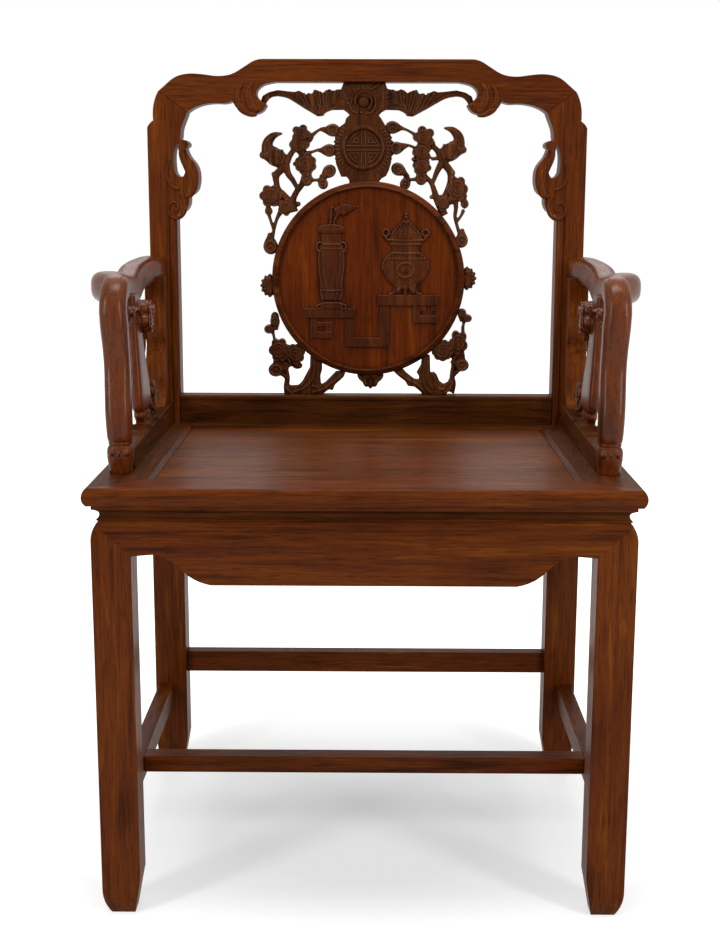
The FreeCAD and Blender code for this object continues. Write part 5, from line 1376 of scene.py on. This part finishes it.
    def vase(self, relief: Carving) -> None:
        """Vase with a dished lip, scrolled lugs, a folded body, a stick and a leaf.

        Args:
            relief: Carving that takes it.
        """
        low, high = self.relief_levels
        r = self.radius
        x = self.vase_place * r
        relief.turned(x, self.shares(VASE_BODY), low, high - 0.8, 4)
        relief.turned(x, self.shares(VASE_LIP), low, high)
        relief.roll(x, 0.527 * r, (0.118 * r, 0.028 * r), 1.7, high - 0.4, 28)
        for side in (-1, 1):
            for line, width, rise in VASE_FOLDS:
                relief.stem(self.beside(x, line, side), width, low, high + rise)
            relief.roll(x + side * 0.128 * r, -0.285 * r, 3.0, 1.8, high - 0.6, 16)
        for height, half in VASE_BANDS:
            self.band(relief, x, height, half, 0.6, 1.6, 0.1)
        relief.turned(x, self.shares(VASE_FOOT), low, high, 3)
        for line, width, rise in VASE_TWIGS:
            relief.stem(self.beside(x, line), width, low, high + rise)
        relief.leaf(*self.beside(x, VASE_LEAF), 0.165 * r, low, high, 0.15, 0.75)

    def censer(self, relief: Carving) -> None:
        """Lidded censer with ears, banded neck, belly boss and three feet.

        Args:
            relief: Carving that takes it.
        """
        low, high = self.relief_levels
        r = self.radius
        x = self.censer_place * r
        relief.turned(x, self.shares(CENSER_BELLY), low, high - 0.2, 2.6)
        relief.turned(x, self.shares(CENSER_NECK), low, high - 0.5, 4)
        relief.turned(x, self.shares(CENSER_LID), low, high, 2.4)
        for rib in range(-3, 4):
            relief.stem(self.beside(x, ((0.050, 0.455), (0.033, 0.52), (0.010, 0.60)), rib),
                        (1.9, 1.6, 1.1), low, high + 0.7)
        relief.dome(x, 0.635 * r, 3.0, 3.0, low, high + 0.3)
        relief.dome(x, 0.665 * r, 1.9, 2.2, low, high - 0.3)
        for height, half, thick in CENSER_BANDS:
            self.band(relief, x, height, half, 0.9, thick, 0.5)
        for side in (-1, 1):
            relief.roll(x + side * 0.205 * r, 0.478 * r, 4.4, 3.6, self.panel_front + 1.8)
            for line, width, rise in CENSER_SIDES:
                relief.stem(self.beside(x, line, side), width, low, high + rise)
            relief.dome(x + side * 0.075 * r, -0.115 * r, 3.0, 5.4, low, high + 0.4, side * 25)
            relief.dome(x + side * 0.145 * r, -0.15 * r, 4.0, 2.6, low, high - 0.2)
        relief.stem(self.beside(x, ((0, -0.07), (0, -0.13), (0, -0.24))), (6.0, 4.6, 3.2), low,
                    high + 0.2)
        relief.roll(x, 0.095 * r, (0.085 * r, 0.075 * r), 1.8, high + 0.2)
        relief.dome(x, 0.095 * r, 0.055 * r, 0.05 * r, low, high + 0.9)
        for tooth in range(-5, 6):
            relief.stem(self.beside(x, ((0.034, 0.222), (0.026, 0.268)), tooth), 1.2, low,
                        high + 0.6)

    def stand(self, relief: Carving) -> None:
        """Stepped stand of square key fret, its bars in two levels.

        Args:
            relief: Carving that takes it.
        """
        low = self.relief_levels[0]
        high = self.panel_front + self.relief_rise * self.stand_share
        for x1, z1, x2, z2, step in STAND_BARS:
            relief.slab(self.spots([(x1, z1), (x2, z1), (x2, z2), (x1, z2)]), low,
                        high + self.stand_step * step, 0.5)
        for x1, x2, z in STAND_RIMS:
            relief.stem(self.spots([(x1, z), ((x1 + x2) / 2, z), (x2, z)]), 1.6, low, high + 1.2)

    def collar(self) -> None:
        """Flower-edged collar with a rimmed roundel of key fret."""
        carving = Carving(self.board)
        x = self.collar_shift
        middle = self.radius + self.roundel_share * self.collar_height
        radius = self.collar_radius
        outline = [(x + share * radius, middle + up * radius) for share, up in COLLAR_OUTLINE]
        carving.slab(outline, -7.5, 4.6, 1.5)
        for flute in range(self.flutes):
            angle = 360 * (flute + 0.5) / self.flutes
            if 52 < angle < 128 or 238 < angle < 302:  # the plain necks above and below
                continue
            turn = math.radians(angle)
            carving.dome(x + math.cos(turn) * radius * 0.87,
                         middle + math.sin(turn) * radius * 0.87,
                         radius * 0.155, radius * 0.062, -6, 6.2, angle)
        disc, rim = self.roundel_radius, self.roundel_rim
        carving.dome(x, middle, disc, disc, -7.5, 5.4, power=14)
        carving.roll(x, middle, disc - rim / 2, rim, 5.6, 72)
        inner = disc - rim - 1
        for up in (-1, 1):
            carving.stem([(x + out * inner, middle + up * 2.8) for out in (-1, 0, 1)],
                         self.fret_bar, self.fret_floor, self.fret_rise, 2)
            for out in (-1, 1):
                carving.stem([(x + out * 2.6, middle + up * end) for end in (5.6, inner)],
                             self.fret_bar, self.fret_floor, self.fret_rise, 2)
                self.fret_corner(carving, x, middle, out, up, inner)
        self.carved(carving, "fret_collar", True, 0.6, 1)

    def fret_corner(self, carving: Carving, x: float, z: float, out: int, up: int,
                    inner: float) -> None:
        """Curled key in one quarter of the roundel.

        Args:
            carving: Carving that takes it.
            x: Place of the roundel's middle.
            z: Place of the roundel's middle.
            out: Side of the quarter, -1 for left.
            up: Upper or lower quarter, -1 for lower.
            inner: Radius of the fret.
        """
        def arc(share: float, start: float, end: float) -> list[Spot]:
            """Arc about the roundel's middle, from one angle to another."""
            return [(x + out * inner * share * math.cos(turn),
                     z + up * inner * share * math.sin(turn))
                    for turn in (math.radians(start + (end - start) * n / 4) for n in range(5))]

        key = [(x + out * inner * a, z + up * inner * b) for a, b in
               ((0.74, 0.30), (0.30, 0.30), (0.30, 0.52))]
        for line in (arc(0.92, 18, 72), arc(0.70, 26, 60), key[:2], key[1:]):
            carving.stem(line, self.fret_bar, self.fret_floor, self.fret_rise - 0.2, 3)

    def bat(self) -> None:
        """Bat with pleated, scalloped wings whose tips run on to the crest's lobes."""
        carving = Carving(self.board)
        foot = self.radius + self.collar_height
        shift = -self.board.middle.x * MM_IN_METRE
        span, height = self.bat_half_span, self.bat_height

        def spot(x: float, z: float, side: int = 1) -> Spot:
            """Place on one side; the right wing is drawn in a little near the body."""
            drawn = 0.04 * min(max((0.85 - x) / 0.4, 0), 1) * min(max(x / 0.3, 0), 1)
            return shift + (x - drawn if side > 0 else -x) * span, foot + z * height

        for side in (-1, 1):
            carving.slab([spot(x, z, side) for x, z in WING_UPPER + WING_LOWER], -6, 3.2, 1.0)
            for x, z, foot_x, foot_z, wide in WING_RIBS:
                bend = spot((x * 0.55 + foot_x * 0.45), (z * 0.5 + foot_z * 0.5) - 0.02, side)
                carving.stem([spot(foot_x, foot_z, side), bend, spot(x, z, side)],
                             [1.6, wide * 0.62, wide], -2, 5.4)
            carving.stem([spot(x, z, side) for x, z in WING_BONE], WING_BONE_WIDTHS, -5.5, 5.6)
            carving.stem([spot(x, z, side) for x, z in WING_HEM], (4.0, 4.4, 4.4, 3.4), -5, 5.6)
        carving.slab([spot(x, z) for x, z in BAT_BODY], -7.5, 4, 1)
        self.bat_head(carving, spot)
        self.carved(carving, "bat_carving", False, 0.8)

    @staticmethod
    def bat_head(carving: Carving, spot: Callable[..., Spot]) -> None:
        """Ringed boss between folds of skin, where the wings meet.

        Args:
            carving: Carving that takes it.
            spot: Function from shares of the bat to a place.
        """
        x, z = spot(-0.033, 0.43)
        carving.dome(x, z, 7.6, 7.9, -5, 10.4, power=2.6)
        for line, wide, rise in BAT_FOLDS:
            carving.stem([spot(*place) for place in line], wide, -5, rise)
        for place in ((-0.055, 0.13), (-0.195, 0.40)):
            carving.dome(*spot(*place), 3.2, 3.0, -5, 8.0)

    def drop(self) -> None:
        """Five-lobed lotus drop under the ring."""
        carving = Carving(self.board)
        x, top = self.drop_shift, -self.radius
        height = self.drop_height
        for lobe, (out, down, tilt) in enumerate(DROP_LOBES):
            rise = 7.2 - 0.5 * abs(lobe - 2)
            carving.dome(x + out * height, top - down * height, height * 0.17, height * 0.36,
                         -6, rise, tilt)
        carving.dome(x, top - 0.1 * height, height * 0.62, height * 0.34, -6.5, 6)
        self.carved(carving, "lotus_drop")

    def plum(self, node: str, spray: Spray) -> None:
        """Carved branch beside the ring, or the root that it grows from.

        Args:
            node: CAD node that it stands for.
            spray: Places of its twigs, blossoms, buds and trunk.
        """
        carving = Carving(self.board)
        full = self.radius * self.fullness
        back, front = -self.half_branch, self.half_branch
        for line, widths in spray.stems:
            carving.stem(self.spots(line), [width * full for width in widths], back + 1,
                         front - 0.6)
        for x, z, wide, tall, petals in spray.blossoms:
            carving.blossom(*self.spots([(x, z)])[0], wide * full, tall * full, back - 1,
                            self.half_blossom, petals, 90 + 30 * x)
        for x, z, half, angle in spray.buds:
            carving.bud(*self.spots([(x, z)])[0], half * full, angle, back, front + 0.8)
        for x, z, wide, tall, turn in spray.lobes:
            carving.dome(*self.spots([(x, z)])[0], wide * full, tall * full, back, front + 0.3,
                         turn)
        if spray.trunk:
            carving.slab(self.spots(spray.trunk), back, front - 1.2, 1.8)
        for line in spray.ridges:
            carving.stem(self.spots(line), self.bark_ridge, back + 2, front + 0.7)
        if spray.fruit:
            self.fruit(carving, *spray.fruit)
        self.carved(carving, node)

    def fruit(self, carving: Carving, x: float, z: float, side: int) -> None:
        """Plump fruit with a creased skin, under a leaf that curls up like a horn.

        Args:
            carving: Carving that takes it.
            x: Place of its middle, as a share of the radius.
            z: Place of its middle, as a share of the radius.
            side: Side of the chair that it leans to, -1 for left.
        """
        r = self.radius
        front = self.half_blossom

        def spot(out: float, up: float) -> Spot:
            """Place from shares away from the fruit's middle, outwards and up."""
            return self.spots([(x + side * out, z + up)])[0]

        carving.dome(*spot(-0.02, -0.015), 0.125 * r, 0.095 * r, -6.5, front, side * 25)
        carving.dome(*spot(0.03, 0.02), 0.10 * r, 0.085 * r, -6.5, front + 0.5)
        carving.stem([spot(0.055, -0.02), spot(0.072, 0.07), spot(0.062, 0.15), spot(0.0, 0.215),
                      spot(-0.085, 0.235)],
                     [0.13 * r, 0.125 * r, 0.105 * r, 0.07 * r, 0.018 * r], -5.5, front - 0.6)
        carving.dome(*spot(0.125, 0.01), 0.03 * r, 0.036 * r, -5.5, front - 1)
        for bend in (-0.05, 0.0, 0.05):
            carving.stem([spot(bend - 0.03, 0.07), spot(bend * 1.5 - 0.03, -0.01),
                          spot(bend - 0.03, -0.085)], 0.022 * r, -2, front + 0.5)
        carving.stem([spot(0.10, 0.05), spot(0.09, 0.14), spot(0.02, 0.20), spot(-0.05, 0.225)],
                     0.022 * r, -2, front + 0.1)

    def ring_blossom(self, side: str, spot: Spot) -> None:
        """Half blossom that peeps out behind the ring, with radial ribs.

        Args:
            side: Side of the ring.
            spot: Its middle, in shares of the radius.
        """
        carving = Carving(self.board)
        x, z = spot[0] * self.radius, spot[1] * self.radius
        half = 0.125 * self.radius
        for petal in range(-3, 4):
            angle = (0 if side == "right" else 180) + petal * 27
            turn = math.radians(angle)
            carving.dome(x + math.cos(turn) * half * 0.50, z + math.sin(turn) * half * 0.56,
                         half * 0.46, half * 0.22, -6, 6, angle)
        carving.dome(x, z, half * 0.62, half * 0.85, -6, 5.2)
        self.carved(carving, f"{side}_ring_blossom")


# Stations of the arm's rail: share of the span from the front, shares of the bow outwards
# and of the dip upwards, and shares of the rail's width and height
RAIL_STATIONS = (
    (0.114, 0, 0, 0.88, 1), (0.203, 0.536, 0.08, 1.06, 1.05), (0.290, 0.786, 0.02, 1.12, 1.13),
    (0.370, 0.857, -0.08, 1.18, 1.2), (0.450, 0.868, -0.33, 1.22, 1.25),
    (0.538, 0.875, -0.62, 1.22, 1.25), (0.677, 0.840, -0.90, 1.12, 1.2),
    (0.816, 0.80, 0.00, 1.09, 1.15), (0.928, 0.42, 0.50, 1.12, 1.1),
    (1.0, 0.214, 0.54, 1.12, 1.1),
)
# Stations of the front post and of its foot: shares of the rise and the span, then of the
# post's width and depth
POST_STATIONS = (
    (0.174, 0.036, 0.84, 0.86), (0.190, 0.035, 0.92, 0.94), (0.240, 0.034, 0.96, 1.00),
    (0.338, 0.036, 0.98, 1.07), (0.460, 0.046, 0.975, 1.00), (0.580, 0.056, 0.97, 0.90),
    (0.700, 0.050, 0.98, 0.93), (0.800, 0.043, 1.02, 1.00),
)
FOOT_STATIONS = (
    (0.0, 0.80, 0.84), (0.006, 0.86, 0.90), (0.022, 0.84, 0.90), (0.045, 0.90, 0.97),
    (0.085, 0.98, 1.03), (0.115, 1.0, 1.04), (0.140, 0.96, 0.98), (0.152, 0.86, 0.88),
    (0.158, 0.82, 0.84), (0.166, 0.88, 0.90), (0.176, 0.84, 0.86),
)
# Outlines in shares of the span and the rise, with a smooth line through each stretch
SILL_OUTLINE = (
    [(0.078, 0.001)], [(0.078, 0.121)], [(0.20, 0.127)], [(0.296, 0.129)],
    [(0.304, 0.139), (0.312, 0.143), (0.320, 0.139), (0.326, 0.129)], [(0.405, 0.132)],
    [(0.414, 0.150), (0.425, 0.157), (0.436, 0.150), (0.445, 0.134)], [(0.580, 0.136)],
    [(0.586, 0.151), (0.593, 0.157), (0.600, 0.151), (0.606, 0.138)], [(0.845, 0.145)],
    [(0.999, 0.158)], [(0.999, 0.001)],
)
STILE_OUTLINE = (
    [(0.999, 0.98)], [(0.914, 0.98)], [(0.914, 0.965)],
    [(0.912, 0.85), (0.900, 0.75), (0.902, 0.64), (0.928, 0.546)],
    [(0.905, 0.46), (0.900, 0.362), (0.905, 0.26), (0.893, 0.19)],
    [(0.878, 0.164), (0.848, 0.151)], [(0.848, 0.1455)], [(0.999, 0.159)],
)
# Bottle splat: share of the rise and share of its half width
BOTTLE_PROFILE = (
    (0.112, 0.42), (0.135, 0.40), (0.165, 0.38), (0.183, 0.52), (0.200, 0.68), (0.216, 0.70),
    (0.230, 0.66), (0.238, 0.78), (0.255, 0.93), (0.285, 1.0), (0.36, 0.98), (0.47, 0.86),
    (0.60, 0.70), (0.70, 0.62), (0.82, 0.60), (0.925, 0.60),
)


@dataclass(frozen=True)
class Twig:
    """Carved twig of an arm, in shares of the arm's span and rise; sizes are of the rise."""

    stems: tuple[Sequence[Spot], ...]
    blossom: tuple[Spot, float, float, float]  # middle, half width, half height, turn
    buds: tuple[tuple[Spot, float], ...]  # middle and the way that each points
    leaves: tuple[tuple[Spot, Spot, Spot, float], ...]  # base, bend, tip and width
    # Back, and rise over the wood's face, of the stems, blossom, buds and leaves
    levels: tuple[Spot, Spot, Spot, Spot]
    thick: float
    bud_size: float


NECK_TWIG = Twig(
    stems=(((0.50, 0.78), (0.58, 0.835), (0.68, 0.825), (0.75, 0.81)),
           ((0.50, 0.78), (0.43, 0.84), (0.34, 0.85)),
           ((0.52, 0.76), (0.56, 0.71), (0.58, 0.64))),
    blossom=((0.52, 0.79), 0.09, 0.10, 60),
    buds=(((0.765, 0.80), 30), ((0.335, 0.84), 160)),
    leaves=(((0.54, 0.80), (0.62, 0.815), (0.71, 0.775), 0.12),
            ((0.55, 0.73), (0.595, 0.62), (0.600, 0.50), 0.055),
            ((0.42, 0.835), (0.38, 0.80), (0.35, 0.74), 0.08)),
    levels=((-3, 2), (-8, 11), (-3, 1), (-4, -1)),
    thick=5.2, bud_size=0.036,
)
REAR_TWIG = Twig(
    stems=(((0.71, 0.12), (0.705, 0.20), (0.70, 0.30)),
           ((0.705, 0.20), (0.75, 0.23), (0.79, 0.24)),
           ((0.705, 0.18), (0.66, 0.20), (0.635, 0.23))),
    blossom=((0.70, 0.30), 0.066, 0.066, 40),
    buds=(((0.795, 0.25), 20), ((0.63, 0.235), 150)),
    leaves=(((0.71, 0.14), (0.77, 0.175), (0.83, 0.155), 0.05),),
    levels=((-4, 4), (-4, 6), (-4, 5), (-4, 4)),
    thick=5, bud_size=0.030,
)


@dataclass
class Arm:
    """One arm: bowed rail, bellied front post, cusped sill, stile, bottle splat and sprig."""

    finishes: Finishes
    side: str
    half_depth: float = 245
    setback: float = 84.5
    back_front: float = 198.5
    seat_height: float = 505
    rise: float = 207
    line: float = 284
    foot_line: float = 279.5
    sill_line: float = 278.5
    bow: float = 28
    dip: float = 13
    bend: float = 25
    rail_width: float = 34
    rail_height: float = 32
    post_width: float = 30
    post_depth: float = 30
    sill_thickness: float = 25
    stile_thickness: float = 26
    bottle_half_width: float = 36
    bottle_half_thickness: float = 8
    bottle_middle: float = 0.482
    foot_setback: float = 0.036
    boss_height: float = 0.118
    sill_top: float = 0.120
    board_edge: float = 2.2
    lean: float = 0.05

    def __post_init__(self) -> None:
        """Set the sign of the side."""
        self.sign = -1 if self.side == "left" else 1

    def spot(self, back: float, up: float) -> Spot:
        """Depth and height in the arm's plane, from shares of its span and rise."""
        front = self.setback - self.half_depth
        return front + back * (self.back_front - front), self.seat_height + up * self.rise

    def point(self, out: float, back: float, up: float) -> Vector:
        """Point in the scene, out from the middle of the chair."""
        y, z = self.spot(back, up)
        return Vector((self.sign * mm(out), mm(y), mm(z)))

    def build(self) -> None:
        """Make the six pieces of the arm."""
        self.rail()
        self.front_post()
        self.sill()
        self.stile()
        self.bottle()
        self.sprig()

    def piece(self, form: Form, part: str, grain: Grain) -> bpy.types.Object:
        """Polished piece that stands for one CAD node of the arm; the stile is plainer and the
        sill darkened as painted shade.

        Args:
            form: Its shape.
            part: Its name within the arm.
            grain: Way of its grain.

        Returns:
            The piece.
        """
        node = f"{self.side}_arm_{part}"
        # The sill's colour is darkened as painted shade
        finish = {"sill": self.finishes.waxed, "stile": self.finishes.frame}.get(
            part, self.finishes.handled)
        return placed(dressed(node), form.mesh(node), finish[grain], [node])

    def rail_stations(self) -> list[tuple[Vector, Vector]]:
        """Middle points of the rail and half its width and height at each.

        Returns:
            The stations, from the front to the back post.
        """
        stations = []
        for back, out, up, width, tall in RAIL_STATIONS:
            centre = self.point(self.line + out * self.bow, back, 1)
            centre.z += mm(up * self.dip - (tall - 1) * self.rail_height / 2)
            stations.append((centre, Vector((width * self.rail_width / 2,
                                             tall * self.rail_height / 2))))
        return stations

    def rail(self) -> None:
        """Bowed rail with rounded edges, cut square against the back post."""
        stations = self.rail_stations()
        line = smooth_line([centre for centre, _ in stations], 6)
        halves = smooth_line([half for _, half in stations], 6)
        form = Form()
        form.skin([rounded_ring(centre, RIGHT, UP, mm(half.x), mm(half.y), 3.0)
                   for centre, half in zip(line, halves)])
        self.piece(form, "rail", Grain.BACKWARDS)

    def front_post(self) -> None:
        """Post that bellies twice and bends back into the rail, on a scrolled foot."""
        start = POST_STATIONS[0][0]
        stations = []
        for up, back, width, depth in POST_STATIONS:
            drift = (up - start) / (1 - start)
            centre = self.point(self.foot_line + (self.line - self.foot_line) * drift, back, up)
            stations.append((centre, Vector((width * self.post_width / 2,
                                             depth * self.post_depth / 2))))
        first, rail_half = self.rail_stations()[0]
        hub = first - Vector((0, 0, mm(self.bend)))
        stations.append((hub - Vector((0, mm(self.bend), 0)), rail_half))
        line = smooth_line([centre for centre, _ in stations], 5)
        halves = smooth_line([half for _, half in stations], 5)
        rings = [rounded_ring(centre, RIGHT, BACKWARD, mm(half.x), mm(half.y), 3.4)
                 for centre, half in zip(line, halves)]
        for step in range(1, 13):
            turn = math.radians(90 * step / 12)
            away = Vector((0, -math.cos(turn), math.sin(turn)))
            rings.append(rounded_ring(hub + away * mm(self.bend), RIGHT, -away,
                                      mm(rail_half.x), mm(rail_half.y), 3.1))
        form = Form()
        form.skin(rings)
        self.foot(form)
        self.piece(form, "front_post", Grain.UPRIGHT)

    def foot(self, form: Form) -> None:
        """Scrolled block under the post, with a beaded neck.

        Args:
            form: Form of the post, which takes it.
        """
        form.skin([rounded_ring(self.point(self.foot_line, self.foot_setback, up), RIGHT,
                                BACKWARD, mm(width * self.post_width / 2),
                                mm(depth * self.post_depth / 2), 3.6)
                   for up, width, depth in FOOT_STATIONS])
        scroll = Carving(upright_board(self.point(self.foot_line, self.foot_setback,
                                                  self.boss_height)))
        for side in (-1, 1):
            scroll.dome(side * 8.2, 0, 5.4, 6.0, 4, 17.2)
        scroll.dome(0, -1, 3.6, 6.4, 4, 16.8)
        scroll.leaf((0, 5), (0, -4), (0, -14), 7, 10, 16.6, 0.3, 0.6)
        start = len(form.points)
        form.points += scroll.points
        form.faces += [[index + start for index in face] for face in scroll.faces]

    def board_form(self, stretches: Iterable[Sequence[Spot]], middle: float,
                   thickness: float) -> Form:
        """Board in the arm's plane.

        Args:
            stretches: Outline in shares of the span and rise.
            middle: Distance of its middle from the middle of the chair.
            thickness: Its thickness.

        Returns:
            The form.
        """
        corners = flat_outline(stretches)
        form = Form()
        form.skin([[self.point(middle + side * thickness / 2, *corner) for corner in corners]
                   for side in (-1, 1)])
        return form

    def sill(self) -> None:
        """Rail on the seat frame with three worn cusps along its top."""
        form = self.board_form(SILL_OUTLINE, self.sill_line, self.sill_thickness)
        softened(self.piece(form, "sill", Grain.BACKWARDS), self.board_edge)

    def stile(self) -> None:
        """Upright against the back post, with two bulging edges."""
        form = self.board_form(STILE_OUTLINE, self.line, self.stile_thickness)
        softened(self.piece(form, "stile", Grain.UPRIGHT), self.board_edge)

    def carver(self) -> Carving:
        """Empty carving in the arm's plane, facing the sitter.

        Returns:
            The carving, which leans out a little with the arm.
        """
        tilt = math.atan(self.lean)
        up = Vector((self.sign * math.sin(tilt), 0, math.cos(tilt)))
        front = Vector((-self.sign * math.cos(tilt), 0, math.sin(tilt)))
        return Carving(Board(self.point(self.sill_line, 0, self.sill_top), BACKWARD, up, front))

    def on_board(self, spots: Iterable[Spot]) -> list[Spot]:
        """Shares of the span and rise as millimetres on the carver's board."""
        y0, z0 = self.spot(0, self.sill_top)
        return [(y - y0, z - z0) for y, z in (self.spot(*spot) for spot in spots)]

    def grow(self, carving: Carving, twig: Twig, face: float = 0) -> None:
        """Carve a twig with its blossom, buds and leaves.

        Args:
            carving: Carving that takes it.
            twig: Its places and sizes.
            face: Level of the wood's face under it.
        """
        stem, flower, bud, leaf = ((low, face + rise) for low, rise in twig.levels)
        for line in twig.stems:
            carving.stem(self.on_board(line), twig.thick, *stem)
        spot, wide, tall, turn = twig.blossom
        carving.blossom(*self.on_board([spot])[0], wide * self.rise, tall * self.rise, *flower,
                        turn=turn)
        for spot, angle in twig.buds:
            carving.bud(*self.on_board([spot])[0], twig.bud_size * self.rise, angle, *bud)
        for *spots, width in twig.leaves:
            carving.leaf(*self.on_board(spots), width * self.rise, *leaf)

    def bottle(self) -> None:
        """Bottle-shaped splat with a flowering twig across its neck."""
        carving = self.carver()
        depth = self.bottle_half_thickness
        middle = self.on_board([(self.bottle_middle, 0)])[0][0]
        profile = [(self.on_board([(0, up)])[0][1], wide * self.bottle_half_width)
                   for up, wide in BOTTLE_PROFILE]
        carving.turned(middle, profile, -depth, depth, 5, 3)
        self.grow(carving, NECK_TWIG, depth)
        self.carved(carving, "splat", self.finishes.handled[Grain.UPRIGHT], 0.9)

    def sprig(self) -> None:
        """Small sprig of plum in the rear opening."""
        carving = self.carver()
        self.grow(carving, REAR_TWIG)
        self.carved(carving, "sprig", self.finishes.carving, 0.8)

    def carved(self, form: Form, part: str, material: bpy.types.Material, grit: float) -> None:
        """Fused carving that stands for one CAD node of the arm.

        Args:
            form: Its strokes.
            part: Its name within the arm.
            material: Its finish.
            grit: Finest detail of the fusing in millimetres.
        """
        node = f"{self.side}_arm_{part}"
        placed(dressed(node), fused(form, dressed(node), grit, 2), material,
               [node])


# The studio


@dataclass
class Studio:
    """White sweep, soft lamps and the camera of the photograph."""

    floor_half: float = 6.0
    lens: float = 54.856
    place: tuple[float, float, float] = (0.00692, -1.75975, 0.82591)
    pitch: float = 11.146
    yaw: float = 0.4367
    roll: float = 0.1575
    shade: float = 0.45
    # Floor glow near the chair, rising to white between these distances: a painted shade round
    # the chair
    glow: float = 0.38
    paint: str = "#c8c8c8"
    fade_start: float = 0.15
    fade_end: float = 0.85

    def build(self) -> None:
        """Make the world, the floor, the lamps and the camera."""
        self.world()
        self.floor()
        self.lamp("soft_box_above", (0.0, -0.25, 2.7), (0, 0, 0.6), (1.2, 0.8), 32)
        for side, away in (("left", -1.7), ("right", 1.7)):
            self.lamp(f"strip_{side}", (away, -1.7, 1.3), (0, 0, 0.6), (0.4, 1.5), 26)
        self.lamp("fill_behind", (0.0, 1.8, 1.9), (0, 0, 0.7), (1.8, 0.6), 9)
        self.camera()

    def world(self) -> None:
        """White to the eye and in reflections, a softer white as light."""
        world = bpy.data.worlds.new("white_sweep")
        bpy.context.scene.world = world
        world.use_nodes = True
        tree = world.node_tree
        tree.nodes.clear()
        dim, white = (add_node(tree, "ShaderNodeBackground", {"Color": linear(WHITE),
                                                              "Strength": strength})
                      for strength in (self.shade, 1.0))
        mix = add_node(tree, "ShaderNodeMixShader",
                       links={0: self.seen(tree), 1: dim.outputs[0], 2: white.outputs[0]})
        add_node(tree, "ShaderNodeOutputWorld", links={"Surface": mix.outputs[0]})

    def seen(self, tree: bpy.types.NodeTree) -> bpy.types.NodeSocket:
        """One where the eye, a reflection or glass looks, nothing for light that spreads.

        Args:
            tree: Node tree that it is added to.

        Returns:
            The socket.
        """
        path = add_node(tree, "ShaderNodeLightPath")
        eye = add_node(tree, "ShaderNodeMath", {"operation": "MAXIMUM"},
                       {0: path.outputs["Is Camera Ray"], 1: path.outputs["Is Glossy Ray"]})
        return add_node(tree, "ShaderNodeMath", {"operation": "MAXIMUM"},
                        {0: eye.outputs[0], 1: path.outputs["Is Transmission Ray"]}).outputs[0]

    def floor(self) -> None:
        """Pale floor that keeps the chair's shadow, darker near the chair as painted shade, and
        white away from it.
        """
        mesh = bpy.data.meshes.new("studio_floor")
        half = self.floor_half
        corners = [(-half, -half, 0), (half, -half, 0), (half, half, 0), (-half, half, 0)]
        mesh.from_pydata(corners, [], [(0, 1, 2, 3)])
        floor = linked("studio_floor", mesh)
        material = bpy.data.materials.new("painted_floor")
        material.use_nodes = True
        tree = material.node_tree
        tree.nodes.clear()
        paint = add_node(tree, "ShaderNodeBsdfDiffuse", {"Color": linear(self.paint)})
        place = add_node(tree, "ShaderNodeTexCoord").outputs["Object"]
        away = add_node(tree, "ShaderNodeVectorMath", {"operation": "LENGTH"}, {0: place})
        # Glow lowest near the chair and white further out: a painted shade round the chair
        fade = add_node(tree, "ShaderNodeMapRange",
                        {"From Min": self.fade_start, "From Max": self.fade_end,
                         "To Min": self.glow, "To Max": 1.0}, {"Value": away.outputs["Value"]})
        seen = self.seen(tree)
        share = add_node(tree, "ShaderNodeMath", {"operation": "MULTIPLY"},
                         {0: fade.outputs["Result"], 1: seen})
        glow = add_node(tree, "ShaderNodeEmission", {"Color": linear(WHITE)},
                        {"Strength": share.outputs[0]})
        whole = add_node(tree, "ShaderNodeAddShader", links={0: paint.outputs[0],
                                                             1: glow.outputs[0]})
        add_node(tree, "ShaderNodeOutputMaterial", links={"Surface": whole.outputs[0]})
        mesh.materials.append(material)

    def lamp(self, name: str, place: Sequence[float], target: Sequence[float],
             size: Spot, power: float) -> None:
        """Soft rectangular lamp.

        Args:
            name: Name of the lamp.
            place: Where it hangs.
            target: Point that it faces.
            size: Width and height in metres.
            power: Watts.
        """
        data = bpy.data.lights.new(name, "AREA")
        data.shape = "RECTANGLE"
        data.size, data.size_y = size
        data.energy = power
        lamp = linked(name, data)
        lamp.location = place
        facing = Vector(target) - Vector(place)
        lamp.rotation_euler = facing.to_track_quat("-Z", "Y").to_euler()

    def camera(self) -> None:
        """Camera at the photograph's place, with its small turn and tilt."""
        data = bpy.data.cameras.new("camera")
        data.lens = self.lens
        data.dof.use_dof = False
        camera = linked("camera", data)
        turn = (Matrix.Rotation(math.radians(self.yaw), 4, "Z")
                @ Matrix.Rotation(math.radians(90 - self.pitch), 4, "X")
                @ Matrix.Rotation(math.radians(self.roll), 4, "Z"))
        camera.matrix_world = Matrix.Translation(self.place) @ turn
        bpy.context.scene.camera = camera


def main() -> None:
    """Dress the chair and set up the studio."""
    logging.basicConfig(level=logging.INFO, format="%(message)s")
    bpy.context.scene.view_settings.view_transform = "Standard"
    finishes = Finishes()
    JoineryFrame(finishes).dress()
    WaistMoulding(finishes).build()
    FrameScrolls(finishes).build()
    CarvedSplat(finishes).build()
    for side in ("left", "right"):
        Arm(finishes, side).build()
    Studio().build()


if __name__ == "__main__":
    main()
